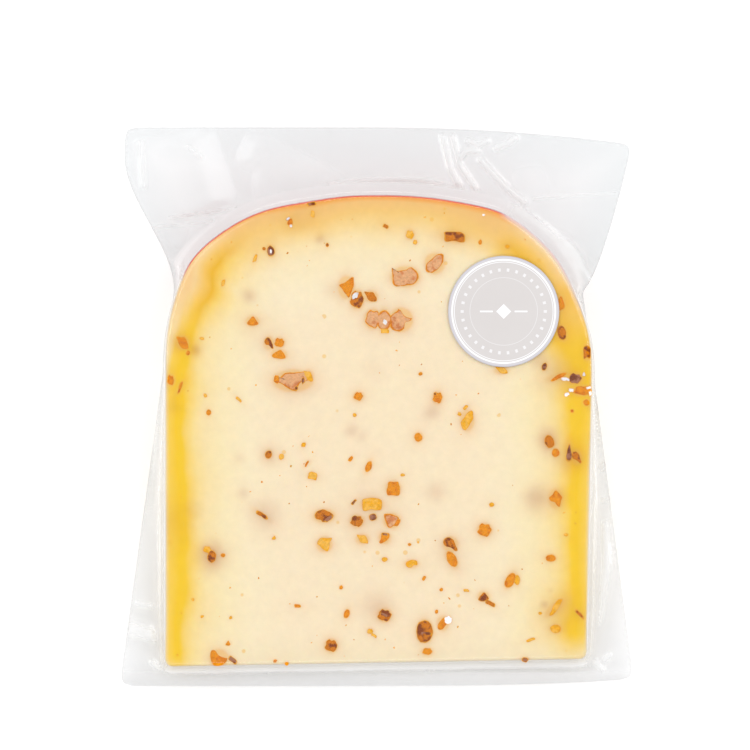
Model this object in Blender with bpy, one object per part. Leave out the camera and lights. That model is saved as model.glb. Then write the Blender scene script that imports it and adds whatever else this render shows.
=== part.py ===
"""A wedge of seeded cheese, vacuum packed in a clear pouch, with a round label.

The cheese is a slice of a whole wheel, cut on both sides along the wheel's axis.
It lies on its lower cut face. X runs along the wheel's axis, +Y points at the
rounded rim and +Z is up. The pouch hugs the cheese and ends in a thin sealed
flange all round, half way up the slice. All working sizes are in millimetres.
"""

import math
import random

import bpy
import bmesh
from mathutils import Matrix, Vector

TO_METRES = 0.001

# The slice: its two cut faces meet on the wheel's axis, out beyond the tip
HALF_ANGLE = math.radians(7.2)
TIP_RADIUS = 20.0
RIM_RADIUS = 126.3
SHOULDER_RADIUS = 85.7
HALF_LEFT = 47.9
HALF_RIGHT = 48.7
FOOT_NARROWING_RIGHT = 1.3
FOOT_LIFT_RIGHT = 1.7
CORNER_RADIUS = 2.2
RIM_POWER_LEFT = 2.55
RIM_POWER_RIGHT = 2.42
# Soft lumps of the rim: degrees round the arch, spread, swelling
RIM_LUMPS = (
    (22.0, 10.0, -0.7),
    (52.0, 9.0, 0.8),
    (112.0, 10.0, -0.5),
    (148.0, 8.0, 0.5),
)

# How the pouch bends round the cheese
EDGE_ROUNDING = 1.5
FOLLOW_RADIUS = 4.2
FLANGE_THICKNESS = 0.5
LEAST_FLANGE = 0.8

# The pouch's outline, laid flat
POUCH_LOW = 15.1
POUCH_HIGH = 142.7
POUCH_HALF_FOOT = 58.0
POUCH_WAIST_RADIUS = 105.7
WAIST_LEFT = 46.2
WAIST_RIGHT = 46.8
TOP_FLARE_LEFT = 11.4
TOP_FLARE_RIGHT = 10.8
FLARE_ENDS_LEFT = 0.82
POUCH_CORNER_POWER = 30.0
TOP_FALL_RIGHT = 4.6

# Points round the outline and rings across the flange
FOOT_STEPS = 26
CORNER_STEPS = 4
SIDE_STEPS = 20
ARCH_STEPS = 74
FLANGE_RINGS = 6

# Folds pressed into the flange: from, to, half width, height
FLANGE_FOLDS = (
    ((-43.2, 139.6), (-32.5, 119.4), 1.6, 1.3),
    ((-48.3, 137.5), (-47.6, 129.0), 1.5, 1.1),
    ((-20.0, 137.3), (-29.0, 135.7), 1.4, 0.6),
    ((2.5, 132.2), (23.5, 129.0), 1.2, 0.9),
    ((16.8, 142.5), (18.0, 134.0), 1.2, 1.0),
    ((20.0, 140.6), (24.0, 137.6), 1.6, 1.3),
    ((23.5, 137.1), (34.4, 127.0), 1.5, -1.0),
    ((36.0, 122.0), (47.0, 108.4), 1.5, 1.0),
)

# The round label on the upper face
LABEL_ACROSS = 28.5
LABEL_RADIUS_OUT = 100.0
LABEL_SIZE = 25.0
LABEL_THICKNESS = 0.3
LABEL_GAP = 0.3
LABEL_STEPS = 72

# Seeds and nut bits at the upper cut face: across, out, width, height
LARGE_BITS = (
    (-43.8, 92.8, 2.3, 2.9),
    (-27.9, 97.9, 2.5, 1.8),
    (-22.1, 91.6, 2.7, 3.1),
    (-23.9, 113.6, 1.8, 2.3),
    (-6.9, 105.7, 3.2, 4.5),
    (-4.5, 102.8, 2.9, 4.1),
    (-1.4, 103.3, 3.1, 2.7),
    (-1.1, 98.1, 3.1, 4.1),
    (1.8, 98.1, 2.7, 4.1),
    (5.4, 98.3, 4.5, 4.7),
    (6.4, 107.8, 5.9, 3.8),
    (12.9, 110.8, 3.6, 3.8),
    (17.2, 117.0, 4.5, 2.3),
    (41.4, 101.5, 1.8, 3.4),
    (41.6, 95.2, 1.8, 2.9),
    (44.8, 85.0, 2.7, 2.5),
    (-18.9, 84.4, 6.1, 3.6),
    (13.7, 80.8, 2.0, 2.0),
    (20.0, 75.8, 1.3, 3.2),
    (38.7, 70.9, 2.0, 2.5),
    (43.9, 67.7, 3.6, 3.6),
    (40.3, 57.8, 2.7, 3.2),
    (24.3, 50.8, 2.7, 2.7),
    (3.8, 60.3, 2.7, 2.7),
    (-1.2, 56.8, 3.6, 2.0),
    (-11.9, 54.0, 3.8, 2.5),
    (-4.5, 52.9, 2.7, 2.7),
    (3.4, 53.1, 2.7, 2.7),
    (-11.7, 47.7, 2.7, 2.5),
    (1.6, 49.0, 2.1, 2.1),
    (16.7, 47.7, 2.7, 2.5),
    (16.7, 44.2, 2.3, 2.9),
    (30.4, 39.6, 3.2, 2.7),
    (24.1, 35.8, 2.5, 2.0),
    (-37.1, 45.0, 2.0, 3.2),
    (1.6, 31.7, 2.7, 2.7),
    (-10.4, 24.8, 2.7, 2.7),
    (10.6, 28.1, 3.4, 4.9),
    (14.9, 30.1, 2.3, 2.5),
    (39.8, 33.1, 4.5, 2.3),
    (45.0, 32.6, 2.7, 4.1),
)
SMALL_BITS = 62
SMALL_BIT_SIZES = (1.1, 2.0)
SMALL_BIT_SPACING = 3.4
BIT_CLEARANCE = 1.4
BIT_STANDS_OUT = 0.35
BIT_HALF_DEPTH = 0.5
BIT_SIDES = 8
BIT_LAYERS = 4
RANDOM_SEED = 27

SMOOTH_UNDER = math.radians(38.0)
FILM_COLOUR = (0.93, 0.78, 0.47, 1.0)
LABEL_COLOUR = (0.72, 0.69, 0.69, 1.0)


def clear_scene():
    for thing in list(bpy.data.objects):
        bpy.data.objects.remove(thing, do_unlink=True)


def plain_material(name, colour, roughness, metallic):
    material = bpy.data.materials.new(name)
    material.use_nodes = True
    shader = material.node_tree.nodes["Principled BSDF"]
    shader.inputs["Base Color"].default_value = colour
    shader.inputs["Roughness"].default_value = roughness
    shader.inputs["Metallic"].default_value = metallic
    return material


def eased(t):
    t = min(max(t, 0.0), 1.0)
    return t * t * (3.0 - 2.0 * t)


def mixed(start, end, share):
    return start + (end - start) * share


def rim_lump(turn):
    """How far the rim swells at an angle round the arch, in millimetres."""
    degrees = math.degrees(turn)
    swelling = 0.0
    for centre, spread, height in RIM_LUMPS:
        swelling += height * math.exp(-(((degrees - centre) / spread) ** 2))
    return swelling


def arch_point(turn):
    """The rounded rim's section, from the right shoulder at 0 to the left at pi."""
    on_right = math.cos(turn) > 0.0
    half = HALF_RIGHT if on_right else HALF_LEFT
    power = RIM_POWER_RIGHT if on_right else RIM_POWER_LEFT
    height = RIM_RADIUS - SHOULDER_RADIUS
    across = abs(math.cos(turn)) / half
    up = abs(math.sin(turn)) / height
    reach = (across**power + up**power) ** (-1.0 / power) + rim_lump(turn)
    return Vector((reach * math.cos(turn), SHOULDER_RADIUS + reach * math.sin(turn)))


def evenly(points, count):
    """count points evenly along an open line, leaving out its last point."""
    lengths = [0.0]
    for before, after in zip(points, points[1:]):
        lengths.append(lengths[-1] + (after - before).length)
    spread = []
    place = 0
    for step in range(count):
        wanted = lengths[-1] * step / count
        while lengths[place + 1] < wanted:
            place += 1
        share = (wanted - lengths[place]) / (lengths[place + 1] - lengths[place])
        spread.append(points[place].lerp(points[place + 1], share))
    return spread


def corner_curve(start, corner, end, count):
    """A rounded corner as a quadratic curve."""
    curve = []
    for step in range(count):
        t = step / count
        first = start.lerp(corner, t)
        second = corner.lerp(end, t)
        curve.append(first.lerp(second, t))
    return curve


def cheese_outline():
    """The cut face's edge, anticlockwise from the tip's left end."""
    left_foot = Vector((-HALF_LEFT, TIP_RADIUS))
    right_foot = Vector((HALF_RIGHT - FOOT_NARROWING_RIGHT, TIP_RADIUS + FOOT_LIFT_RIGHT))
    fine = 400
    arch = [arch_point(math.pi * step / fine) for step in range(fine + 1)]
    along = (right_foot - left_foot).normalized() * CORNER_RADIUS
    rise = (arch[0] - right_foot).normalized() * CORNER_RADIUS
    drop = Vector((0.0, CORNER_RADIUS))
    outline = evenly([left_foot + along, right_foot - along], FOOT_STEPS)
    outline += corner_curve(
        right_foot - along, right_foot, right_foot + rise, CORNER_STEPS
    )
    outline += evenly([right_foot + rise, arch[0]], SIDE_STEPS)
    outline += evenly(arch, ARCH_STEPS)
    outline += evenly([arch[-1], left_foot + drop], SIDE_STEPS)
    outline += corner_curve(left_foot + drop, left_foot, left_foot + along, CORNER_STEPS)
    return outline


def outward(outline):
    """The outline's outward direction at each of its points."""
    normals = []
    for place, point in enumerate(outline):
        after = outline[(place + 1) % len(outline)]
        chord = after - outline[place - 1]
        normals.append(Vector((chord.y, -chord.x)).normalized())
    return normals


def pouch_reach(u, v):
    """Under 1 inside the flat pouch's outline, over 1 outside it."""
    low = (v - POUCH_LOW) / (POUCH_WAIST_RADIUS - POUCH_LOW)
    flare = (v - POUCH_WAIST_RADIUS) / (POUCH_HIGH - POUCH_WAIST_RADIUS)
    waist = WAIST_LEFT if u < 0.0 else WAIST_RIGHT
    if low < 1.0:
        half = mixed(POUCH_HALF_FOOT, waist, max(low, 0.0))
    elif u < 0.0:
        half = waist + TOP_FLARE_LEFT * eased(flare / FLARE_ENDS_LEFT)
    else:
        half = waist + TOP_FLARE_RIGHT * min(flare, 1.0) ** 0.7
    across = abs(u) / half
    top = POUCH_HIGH - TOP_FALL_RIGHT * max(u / POUCH_HALF_FOOT, 0.0) ** 4
    middle = (top + POUCH_LOW) / 2.0
    up = abs(v - middle) / (top - middle)
    return across**POUCH_CORNER_POWER + up**POUCH_CORNER_POWER


def pouch_edge_from(start, direction):
    """Where a line from inside the pouch leaves its outline."""
    near = 0.0
    far = 60.0
    for _ in range(40):
        middle = (near + far) / 2.0
        spot = start + direction * middle
        if pouch_reach(spot.x, spot.y) < 1.0:
            near = middle
        else:
            far = middle
    return start + direction * max(near, LEAST_FLANGE)


def fold_height(u, v):
    """The folds and soft waves of the flange, as a height above its flat plane."""
    spot = Vector((u, v))
    height = 0.35 * math.sin(u / 11.0 + 0.6) * math.sin(v / 15.0)
    for start, end, half_width, rise in FLANGE_FOLDS:
        line = Vector(end) - Vector(start)
        along = (spot - Vector(start)).dot(line) / line.length_squared
        nearest = Vector(start) + line * min(max(along, 0.0), 1.0)
        away = (spot - nearest).length / half_width
        height += rise * math.exp(-away * away)
    return height


def in_world(across, out, height):
    """From the flange's plane, measured off the wheel's axis, to the upright frame."""
    y = out * math.cos(HALF_ANGLE) - height * math.sin(HALF_ANGLE)
    z = out * math.sin(HALF_ANGLE) + height * math.cos(HALF_ANGLE)
    return Vector((across, y, z))


def edge_ring(point, normal, rounding, turn, side):
    """A point on the rounding between the cut face and the wall under it."""
    inner = point - normal * rounding
    out = inner + normal * (rounding * math.cos(turn))
    drop = rounding * (1.0 - math.sin(turn))
    along = out.y * math.cos(HALF_ANGLE) + drop * math.sin(HALF_ANGLE)
    height = out.y * math.sin(HALF_ANGLE) - drop * math.cos(HALF_ANGLE)
    return (out.x, along, side * height)


def follow_ring(point, normal, radius, turn, side):
    """A point on the hollow curve from the wall out to the flange."""
    height = FLANGE_THICKNESS / 2.0 + radius * (1.0 - math.sin(turn))
    out = point + normal * (radius * (1.0 - math.cos(turn)))
    wall = math.sqrt(point.y**2 - height**2) - point.y
    return (out.x, out.y + wall, side * height)


def flange_ring(start, edge, share, side):
    """A point on the flange, with its folds fading in from the cheese."""
    spot = start.lerp(edge, share)
    lift = fold_height(spot.x, spot.y) * eased(share / 0.35)
    return (spot.x, spot.y, lift + side * FLANGE_THICKNESS / 2.0)


def half_section(point, normal, side):
    """The pouch's section at one point of the outline, from cut face to edge."""
    face_height = point.y * math.sin(HALF_ANGLE)
    rounding = min(EDGE_ROUNDING, 0.4 * face_height)
    ray = (point - Vector((0.0, 60.0))).normalized()
    edge = pouch_edge_from(point, (normal + ray).normalized())
    room = face_height - rounding - FLANGE_THICKNESS / 2.0 - 0.2
    radius = min(FOLLOW_RADIUS, 0.5 * (edge - point).dot(normal), room)
    section = [
        edge_ring(point, normal, rounding, turn, side)
        for turn in (math.pi / 2.0, math.pi / 4.0, 0.0)
    ]
    section += [
        follow_ring(point, normal, radius, turn, side)
        for turn in (0.0, math.pi / 4.0, math.pi / 2.0)
    ]
    start = point + normal * radius
    section += [
        flange_ring(start, edge, ring / FLANGE_RINGS, side)
        for ring in range(1, FLANGE_RINGS + 1)
    ]
    return section


def object_from(name, points, faces, material):
    mesh = bpy.data.meshes.new(name)
    mesh.from_pydata([point * TO_METRES for point in points], [], faces)
    mesh.materials.append(material)
    thing = bpy.data.objects.new(name, mesh)
    bpy.context.scene.collection.objects.link(thing)
    return thing


def band_faces(first, count, above):
    """Triangles between two rings, split alike above and below the flange."""
    faces = []
    for place in range(count):
        beside = (place + 1) % count
        near, far = first + place, first + count + place
        near_beside, far_beside = first + beside, first + count + beside
        if above:
            faces.append([near, far, far_beside])
            faces.append([near, far_beside, near_beside])
        else:
            faces.append([near, far, near_beside])
            faces.append([far, far_beside, near_beside])
    return faces


def sealed_bag(material):
    """The tight pouch with its cheese, as one closed solid."""
    outline = cheese_outline()
    normals = outward(outline)
    upper = [half_section(p, n, 1.0) for p, n in zip(outline, normals)]
    lower = [half_section(p, n, -1.0)[::-1] for p, n in zip(outline, normals)]
    sections = [above + below for above, below in zip(upper, lower)]
    rings = len(sections[0])
    count = len(sections)
    points = [in_world(*section[ring]) for ring in range(rings) for section in sections]
    faces = [list(range(count))]
    faces.append([(rings - 1) * count + place for place in reversed(range(count))])
    for ring in range(rings - 1):
        faces += band_faces(ring * count, count, ring < rings // 2)
    return object_from("sealed_bag", points, faces, material)


def on_upper_face(across, out, height):
    """Where a point stands that is height above the upper cut face."""
    slope = 2.0 * HALF_ANGLE
    y = out * math.cos(slope) - height * math.sin(slope)
    z = out * math.sin(slope) + height * math.cos(slope)
    return Vector((across, y, z))


def inside_face(u, v, margin):
    """True where a spot is on the cut face, at least margin from its edge."""
    half = (HALF_LEFT if u < 0.0 else HALF_RIGHT - FOOT_NARROWING_RIGHT) - margin
    if v < TIP_RADIUS + FOOT_LIFT_RIGHT + margin:
        return False
    if v < SHOULDER_RADIUS:
        return abs(u) < half
    up = (v - SHOULDER_RADIUS) / (RIM_RADIUS - SHOULDER_RADIUS - margin)
    return (abs(u) / half) ** RIM_POWER_RIGHT + up**RIM_POWER_RIGHT < 1.0


def clear_of_label(u, v, reach):
    away = math.hypot(u - LABEL_ACROSS, v - LABEL_RADIUS_OUT)
    return away > LABEL_SIZE / 2.0 + reach + BIT_CLEARANCE


def small_bits():
    """Small seeds spread over the face, clear of the label and the large bits."""
    draw = random.Random(RANDOM_SEED)
    found = []
    while len(found) < SMALL_BITS:
        u = draw.uniform(-HALF_LEFT, HALF_RIGHT)
        v = draw.uniform(TIP_RADIUS, RIM_RADIUS)
        width = draw.uniform(*SMALL_BIT_SIZES)
        height = width * draw.uniform(0.7, 1.3)
        taken = LARGE_BITS + tuple(found)
        near = min(math.hypot(u - other[0], v - other[1]) for other in taken)
        if inside_face(u, v, 3.0) and clear_of_label(u, v, 1.0):
            if near > SMALL_BIT_SPACING:
                found.append((u, v, width, height))
    return found


def bit_dome(name, bit, holder):
    """A low dome for one seed, sunk in the upper face."""
    u, v, width, height = bit
    mesh = bpy.data.meshes.new(name)
    shape = bmesh.new()
    bmesh.ops.create_uvsphere(
        shape, u_segments=BIT_SIDES, v_segments=BIT_LAYERS, radius=1.0
    )
    size = Matrix.Diagonal((width / 2.0, height / 2.0, BIT_HALF_DEPTH, 1.0))
    lean = Matrix.Rotation(2.0 * HALF_ANGLE, 4, "X")
    centre = on_upper_face(u, v, BIT_STANDS_OUT - BIT_HALF_DEPTH)
    place = Matrix.Translation(centre) @ lean @ size
    bmesh.ops.transform(
        shape, matrix=Matrix.Scale(TO_METRES, 4) @ place, verts=shape.verts
    )
    shape.to_mesh(mesh)
    shape.free()
    holder.objects.link(bpy.data.objects.new(name, mesh))


def fuse_bits(bag):
    """One union joins every seed to the bag, then the loose domes go."""
    holder = bpy.data.collections.new("bit_domes")
    bpy.context.scene.collection.children.link(holder)
    for number, bit in enumerate(list(LARGE_BITS) + small_bits()):
        bit_dome(f"bit_dome_{number}", bit, holder)
    union = bag.modifiers.new("join_bits", "BOOLEAN")
    union.operation = "UNION"
    union.operand_type = "COLLECTION"
    union.collection = holder
    union.solver = "EXACT"
    bpy.context.view_layer.objects.active = bag
    bpy.ops.object.modifier_apply(modifier=union.name)
    for dome in list(holder.objects):
        bpy.data.objects.remove(dome, do_unlink=True)
    bpy.data.collections.remove(holder)


def label(material):
    """The round label, a thin disc just above the bag's upper face."""
    points = []
    for height in (LABEL_GAP, LABEL_GAP + LABEL_THICKNESS):
        for step in range(LABEL_STEPS):
            turn = 2.0 * math.pi * step / LABEL_STEPS
            u = LABEL_ACROSS + LABEL_SIZE / 2.0 * math.cos(turn)
            v = LABEL_RADIUS_OUT + LABEL_SIZE / 2.0 * math.sin(turn)
            points.append(on_upper_face(u, v, height))
    steps = range(LABEL_STEPS)
    faces = [list(reversed(steps)), [LABEL_STEPS + step for step in steps]]
    for step in steps:
        beside = (step + 1) % LABEL_STEPS
        faces.append([step, beside, LABEL_STEPS + beside, LABEL_STEPS + step])
    return object_from("label", points, faces, material)


def shade_smooth(thing):
    thing.data.polygons.foreach_set("use_smooth", [True] * len(thing.data.polygons))
    thing.data.set_sharp_from_angle(angle=SMOOTH_UNDER)


def centre_on_base(things):
    """The origin goes under the middle of the whole, on its lowest plane."""
    spots = [vertex.co for thing in things for vertex in thing.data.vertices]
    low = Vector([min(spot[axis] for spot in spots) for axis in range(3)])
    high = Vector([max(spot[axis] for spot in spots) for axis in range(3)])
    shift = Vector((-(low.x + high.x) / 2.0, -(low.y + high.y) / 2.0, -low.z))
    for thing in things:
        thing.data.transform(Matrix.Translation(shift))
    print("origin shift in metres", tuple(round(value, 6) for value in shift))


clear_scene()
bag = sealed_bag(plain_material("packed_cheese", FILM_COLOUR, 0.25, 0.0))
fuse_bits(bag)
disc = label(plain_material("label_silver", LABEL_COLOUR, 0.35, 0.6))
for solid in (bag, disc):
    shade_smooth(solid)
centre_on_base((bag, disc))
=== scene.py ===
# %% [markdown]
# # A vacuum packed cheese wedge
#
# This script dresses a plain solid as the real thing: a slice of a seeded cheese wheel in a
# tight clear pouch, with a round label. The solid comes from the imported frame and fixes every
# size. The looks are built here: cheese with its wax coat, seeds, film and label, each as its
# own mesh with its own procedural material.
#
# The cells go in the order a packer would work. First the cheese is cut, then its seeds are
# set, then the film is drawn tight over it, and the label goes on last.

# %% Load the frame
import math

import bpy
import numpy as np
from mathutils import Matrix
from mathutils.geometry import delaunay_2d_cdt


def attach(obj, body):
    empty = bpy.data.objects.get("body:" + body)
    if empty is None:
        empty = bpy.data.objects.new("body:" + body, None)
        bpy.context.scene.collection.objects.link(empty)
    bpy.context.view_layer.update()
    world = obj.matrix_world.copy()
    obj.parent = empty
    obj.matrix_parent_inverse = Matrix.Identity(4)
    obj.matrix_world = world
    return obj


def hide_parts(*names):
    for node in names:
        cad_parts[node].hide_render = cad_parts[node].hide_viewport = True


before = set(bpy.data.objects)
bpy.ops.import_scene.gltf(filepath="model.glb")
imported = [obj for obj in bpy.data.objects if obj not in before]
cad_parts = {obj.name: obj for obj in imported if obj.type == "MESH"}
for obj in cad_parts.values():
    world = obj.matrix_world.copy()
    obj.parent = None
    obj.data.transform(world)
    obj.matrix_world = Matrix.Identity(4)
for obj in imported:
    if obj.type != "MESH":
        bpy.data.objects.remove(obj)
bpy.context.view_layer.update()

# %% [markdown]
# ## One way to measure the wedge
#
# A wedge cut from a wheel is easiest to describe from the wheel's axis. Every spot gets three
# numbers in millimetres: how far across it is along the axis, how far out from the axis, and
# how high above the plane half way between the two cut faces. One function turns those into
# the row's frame, which lies on the lower cut face and is in metres.

# %% The wheel and the slice
MM = 0.001
HALF_ANGLE = math.radians(7.2)
AXIS_X = 0.09
AXIS_Y = -78.26
TIP_RADIUS = 20.0
RIM_RADIUS = 126.3
SHOULDER_RADIUS = 85.7
HALF_LEFT = 47.9
HALF_RIGHT = 48.7
FOOT_NARROWING_RIGHT = 1.3
FOOT_LIFT_RIGHT = 1.7
CORNER_RADIUS = 2.2
RIM_POWER_LEFT = 2.55
RIM_POWER_RIGHT = 2.42
RIM_LUMPS = (
    (22.0, 10.0, -0.7),
    (52.0, 9.0, 0.8),
    (112.0, 10.0, -0.5),
    (148.0, 8.0, 0.5),
)


def in_row_frame(spots):
    """Across, along the middle plane and above it, in mm, to the row frame in metres."""
    spots = np.asarray(spots, float)
    y = spots[:, 1] * math.cos(HALF_ANGLE) - spots[:, 2] * math.sin(HALF_ANGLE)
    z = spots[:, 1] * math.sin(HALF_ANGLE) + spots[:, 2] * math.cos(HALF_ANGLE)
    return np.column_stack([spots[:, 0] + AXIS_X, y + AXIS_Y, z]) * MM


def on_cut_face(across, out, lift, side=1.0):
    """Spots on the upper or lower cut face, raised off it by lift."""
    along = out * math.cos(HALF_ANGLE) - lift * math.sin(HALF_ANGLE)
    height = out * math.sin(HALF_ANGLE) + lift * math.cos(HALF_ANGLE)
    return np.column_stack([across, along, side * height])


def eased(t):
    t = np.clip(t, 0.0, 1.0)
    return t * t * (3.0 - 2.0 * t)


# %% [markdown]
# ## The outline of the cut face
#
# The wheel has two flat sides and a rounded rim, so its section is a straight foot where the
# knife cut it off, two straight sides and an arch. A superellipse gives the arch its square
# shoulders, and a few soft lumps keep it from looking turned on a lathe. The closed line is
# then spaced evenly, so every mesh that follows it has even faces.

# %% Outline of the slice


def arch_line(steps):
    """The rounded rim from the right shoulder over to the left one."""
    turn = np.linspace(0.0, math.pi, steps)
    on_right = np.cos(turn) > 0.0
    half = np.where(on_right, HALF_RIGHT, HALF_LEFT)
    power = np.where(on_right, RIM_POWER_RIGHT, RIM_POWER_LEFT)
    across = np.abs(np.cos(turn)) / half
    up = np.abs(np.sin(turn)) / (RIM_RADIUS - SHOULDER_RADIUS)
    reach = (across**power + up**power) ** (-1.0 / power)
    for centre, spread, height in RIM_LUMPS:
        reach += height * np.exp(-(((np.degrees(turn) - centre) / spread) ** 2))
    return np.column_stack([reach * np.cos(turn), SHOULDER_RADIUS + reach * np.sin(turn)])


def rounded_corner(start, corner, end, steps=24):
    t = np.linspace(0.0, 1.0, steps)[:, None]
    return (1 - t) ** 2 * start + 2 * t * (1 - t) * corner + t**2 * end


def spaced(line, gap):
    """A closed line again, with its points gap apart."""
    ring = np.vstack([line, line[:1]])
    length = np.concatenate([[0.0], np.cumsum(np.hypot(*np.diff(ring, axis=0).T))])
    count = int(round(length[-1] / gap))
    wanted = np.arange(count) * length[-1] / count
    return np.column_stack([np.interp(wanted, length, ring[:, k]) for k in (0, 1)])


def slice_outline(gap):
    """The cut face's edge, anticlockwise from the left end of the foot."""
    left = np.array([-HALF_LEFT, TIP_RADIUS])
    right = np.array([HALF_RIGHT - FOOT_NARROWING_RIGHT, TIP_RADIUS + FOOT_LIFT_RIGHT])
    arch = arch_line(800)
    along = (right - left) / np.linalg.norm(right - left) * CORNER_RADIUS
    rise = (arch[0] - right) / np.linalg.norm(arch[0] - right) * CORNER_RADIUS
    drop = np.array([0.0, CORNER_RADIUS])
    line = [rounded_corner(right - along, right, right + rise), arch[1:-1]]
    line.append(rounded_corner(left + drop, left, left + along))
    return spaced(np.vstack(line), gap)


def outward(line):
    chord = np.roll(line, -2, axis=0) - np.roll(line, 2, axis=0)
    normal = np.column_stack([chord[:, 1], -chord[:, 0]])
    return normal / np.linalg.norm(normal, axis=1, keepdims=True)


edge_line = slice_outline(0.45)
edge_out = outward(edge_line)
print("outline points", len(edge_line), "width", round(float(np.ptp(edge_line[:, 0])), 1))

# %% [markdown]
# ## Faces inside an outline
#
# A cut face is flat, but it has to carry soft stains and small bumps, so it needs points all
# over. A triangular grid of points clipped to the outline, joined by a Delaunay triangulation,
# gives even triangles right up to the edge. A plain grid would leave steps there.

# %% Triangulate a face
ROW_RISE = 0.866


def inside_line(spots, line):
    """Which spots are inside a closed line, by counting the edges to their right."""
    ahead = np.roll(line, -1, axis=0)
    inside = np.zeros(len(spots), bool)
    for (x0, y0), (x1, y1) in zip(line, ahead):
        crosses = (y0 > spots[:, 1]) != (y1 > spots[:, 1])
        if crosses.any():
            at = x0 + (spots[:, 1] - y0) / (y1 - y0 + 1e-12) * (x1 - x0)
            inside ^= crosses & (spots[:, 0] < at)
    return inside


def nearest_on(line, spots):
    """Distance to the nearest point of a line, and which point that is."""
    found = np.empty(len(spots), int)
    for start in range(0, len(spots), 4000):
        part = spots[start : start + 4000]
        away = ((part[:, None, :] - line[None, :, :]) ** 2).sum(axis=2)
        found[start : start + 4000] = away.argmin(axis=1)
    return np.hypot(*(spots - line[found]).T), found


def triangle_grid(line, gap):
    """An even triangular grid of points over the box round a line."""
    low, high = line.min(axis=0), line.max(axis=0)
    rows = []
    for number, level in enumerate(np.arange(low[1], high[1], gap * ROW_RISE)):
        place = np.arange(low[0] + gap / 2 * (number % 2), high[0], gap)
        rows.append(np.column_stack([place, np.full(len(place), level)]))
    return np.vstack(rows)


def triangulated(points, edges, loops):
    result = delaunay_2d_cdt(points.tolist(), edges, loops, 1, 1e-7)
    return np.array([tuple(p) for p in result[0]]), np.array([tuple(f) for f in result[2]])


def filled(line, gap):
    """Extra points inside a closed line, and triangles over the line and those points."""
    spots = triangle_grid(line, gap)
    spots = spots[inside_line(spots, line)]
    spots = spots[nearest_on(line, spots)[0] > gap * 0.7]
    return triangulated(np.vstack([line, spots]), [], [list(range(len(line)))])


def renumbered(triangles, count, ring, rest, flip):
    """Triangles as faces of a whole mesh: its ring's count points first, then the others."""
    moved = np.where(triangles < count, triangles + ring, triangles - count + rest)
    return (moved[:, ::-1] if flip else moved).tolist()

# %% [markdown]
# ## From numbers to a mesh
#
# All pieces of this pack are built as arrays of points and lists of faces. One helper turns
# them into a finished object, stores any per point values the materials will read, smooths the
# shading and lets the piece ride on the part's body.

# %% Mesh helper


def shown(name, mesh):
    """A smooth object of the mesh, in the scene."""
    mesh.polygons.foreach_set("use_smooth", [True] * len(mesh.polygons))
    thing = bpy.data.objects.new(name, mesh)
    bpy.context.scene.collection.objects.link(thing)
    print(name, len(mesh.vertices), "points", len(mesh.polygons), "faces")
    return thing


def mesh_object(name, points, faces, materials, values=None, slots=None):
    mesh = bpy.data.meshes.new(name)
    mesh.from_pydata(np.asarray(points).tolist(), [], [list(f) for f in faces])
    for material in materials:
        mesh.materials.append(material)
    if slots is not None:
        mesh.polygons.foreach_set("material_index", np.asarray(slots, np.int32))
    for key, numbers in (values or {}).items():
        layer = mesh.attributes.new(key, "FLOAT", "POINT")
        layer.data.foreach_set("value", np.asarray(numbers, np.float32))
    return shown(name, mesh)


def bands(rings, count, flip=False):
    """Quads between neighbouring closed rings of count points."""
    place = np.arange(count)
    beside = (place + 1) % count
    quads = []
    for ring in range(rings - 1):
        near, far = ring * count, (ring + 1) * count
        quad = np.column_stack([near + place, far + place, far + beside, near + beside])
        quads.append(quad[:, ::-1] if flip else quad)
    return np.vstack(quads).tolist()


def disc_faces(rings, count):
    """Faces of a closed disc: a middle point, then rings of count points, the last one capped."""
    faces = [[0, 1 + k, 1 + (k + 1) % count] for k in range(count)]
    faces += [[p + 1 for p in quad] for quad in bands(rings, count)]
    return faces + [[1 + (rings - 1) * count + k for k in reversed(range(count))]]

# %% [markdown]
# ## How the film runs round the cheese
#
# A vacuum pouch is two flat sheets. Over the cheese they lie tight on it. At its edge they turn
# down a small rounding, run along the wall, curve out again and meet half way up, where they go
# on as a double flange. Cheese and film share this section: the cheese is the same shape, a
# hair inside the film.

# %% Section of wall and rounding
EDGE_ROUNDING = 1.5
FOLLOW_RADIUS = 4.2
SHEET_GAP = 0.12


def wall_sizes(line):
    """At each outline point: height of the face, radius of its edge."""
    face_height = line[:, 1] * math.sin(HALF_ANGLE)
    return face_height, np.minimum(EDGE_ROUNDING, 0.4 * face_height)


def rounding_ring(line, normal, rounding, turn, inset):
    """A ring on the edge's rounding, inset below the film."""
    reach = rounding - inset
    flat = line - normal * rounding[:, None] + normal * (reach * math.cos(turn))[:, None]
    drop = rounding - reach * math.sin(turn)
    return on_cut_face(flat[:, 0], flat[:, 1], -drop)


def wall_ring(line, normal, height, inset):
    """A ring on the wall, which is a part of the wheel, so it bends round the axis."""
    flat = line - normal * inset
    along = np.sqrt(np.maximum(flat[:, 1] ** 2 - height**2, 0.0))
    return np.column_stack([flat[:, 0], along, height])


# %% [markdown]
# ## The outline of the flat pouch
#
# Laid flat, the pouch would be a rectangle. The thick rim takes up film, so the pouch draws in
# to a waist at the cheese's shoulders and flares again above them. A high superellipse power
# makes a near rectangle with small round corners in one formula. From every point of the
# cheese's edge a line is followed outwards until it leaves that shape.

# %% Pouch outline
POUCH_LOW = 15.7
POUCH_HIGH = 143.4
POUCH_HALF_FOOT = 58.0
POUCH_WAIST_RADIUS = 105.7
WAIST_LEFT = 46.2
WAIST_RIGHT = 46.8
TOP_FLARE_LEFT = 11.4
TOP_FLARE_RIGHT = 12.4
FLARE_ENDS_LEFT = 0.82
POUCH_CORNER_POWER = 60.0
TOP_FALL_RIGHT = 3.9
FOOT_RISE_RIGHT = 1.6
LEAST_FLANGE = 0.8


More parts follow.
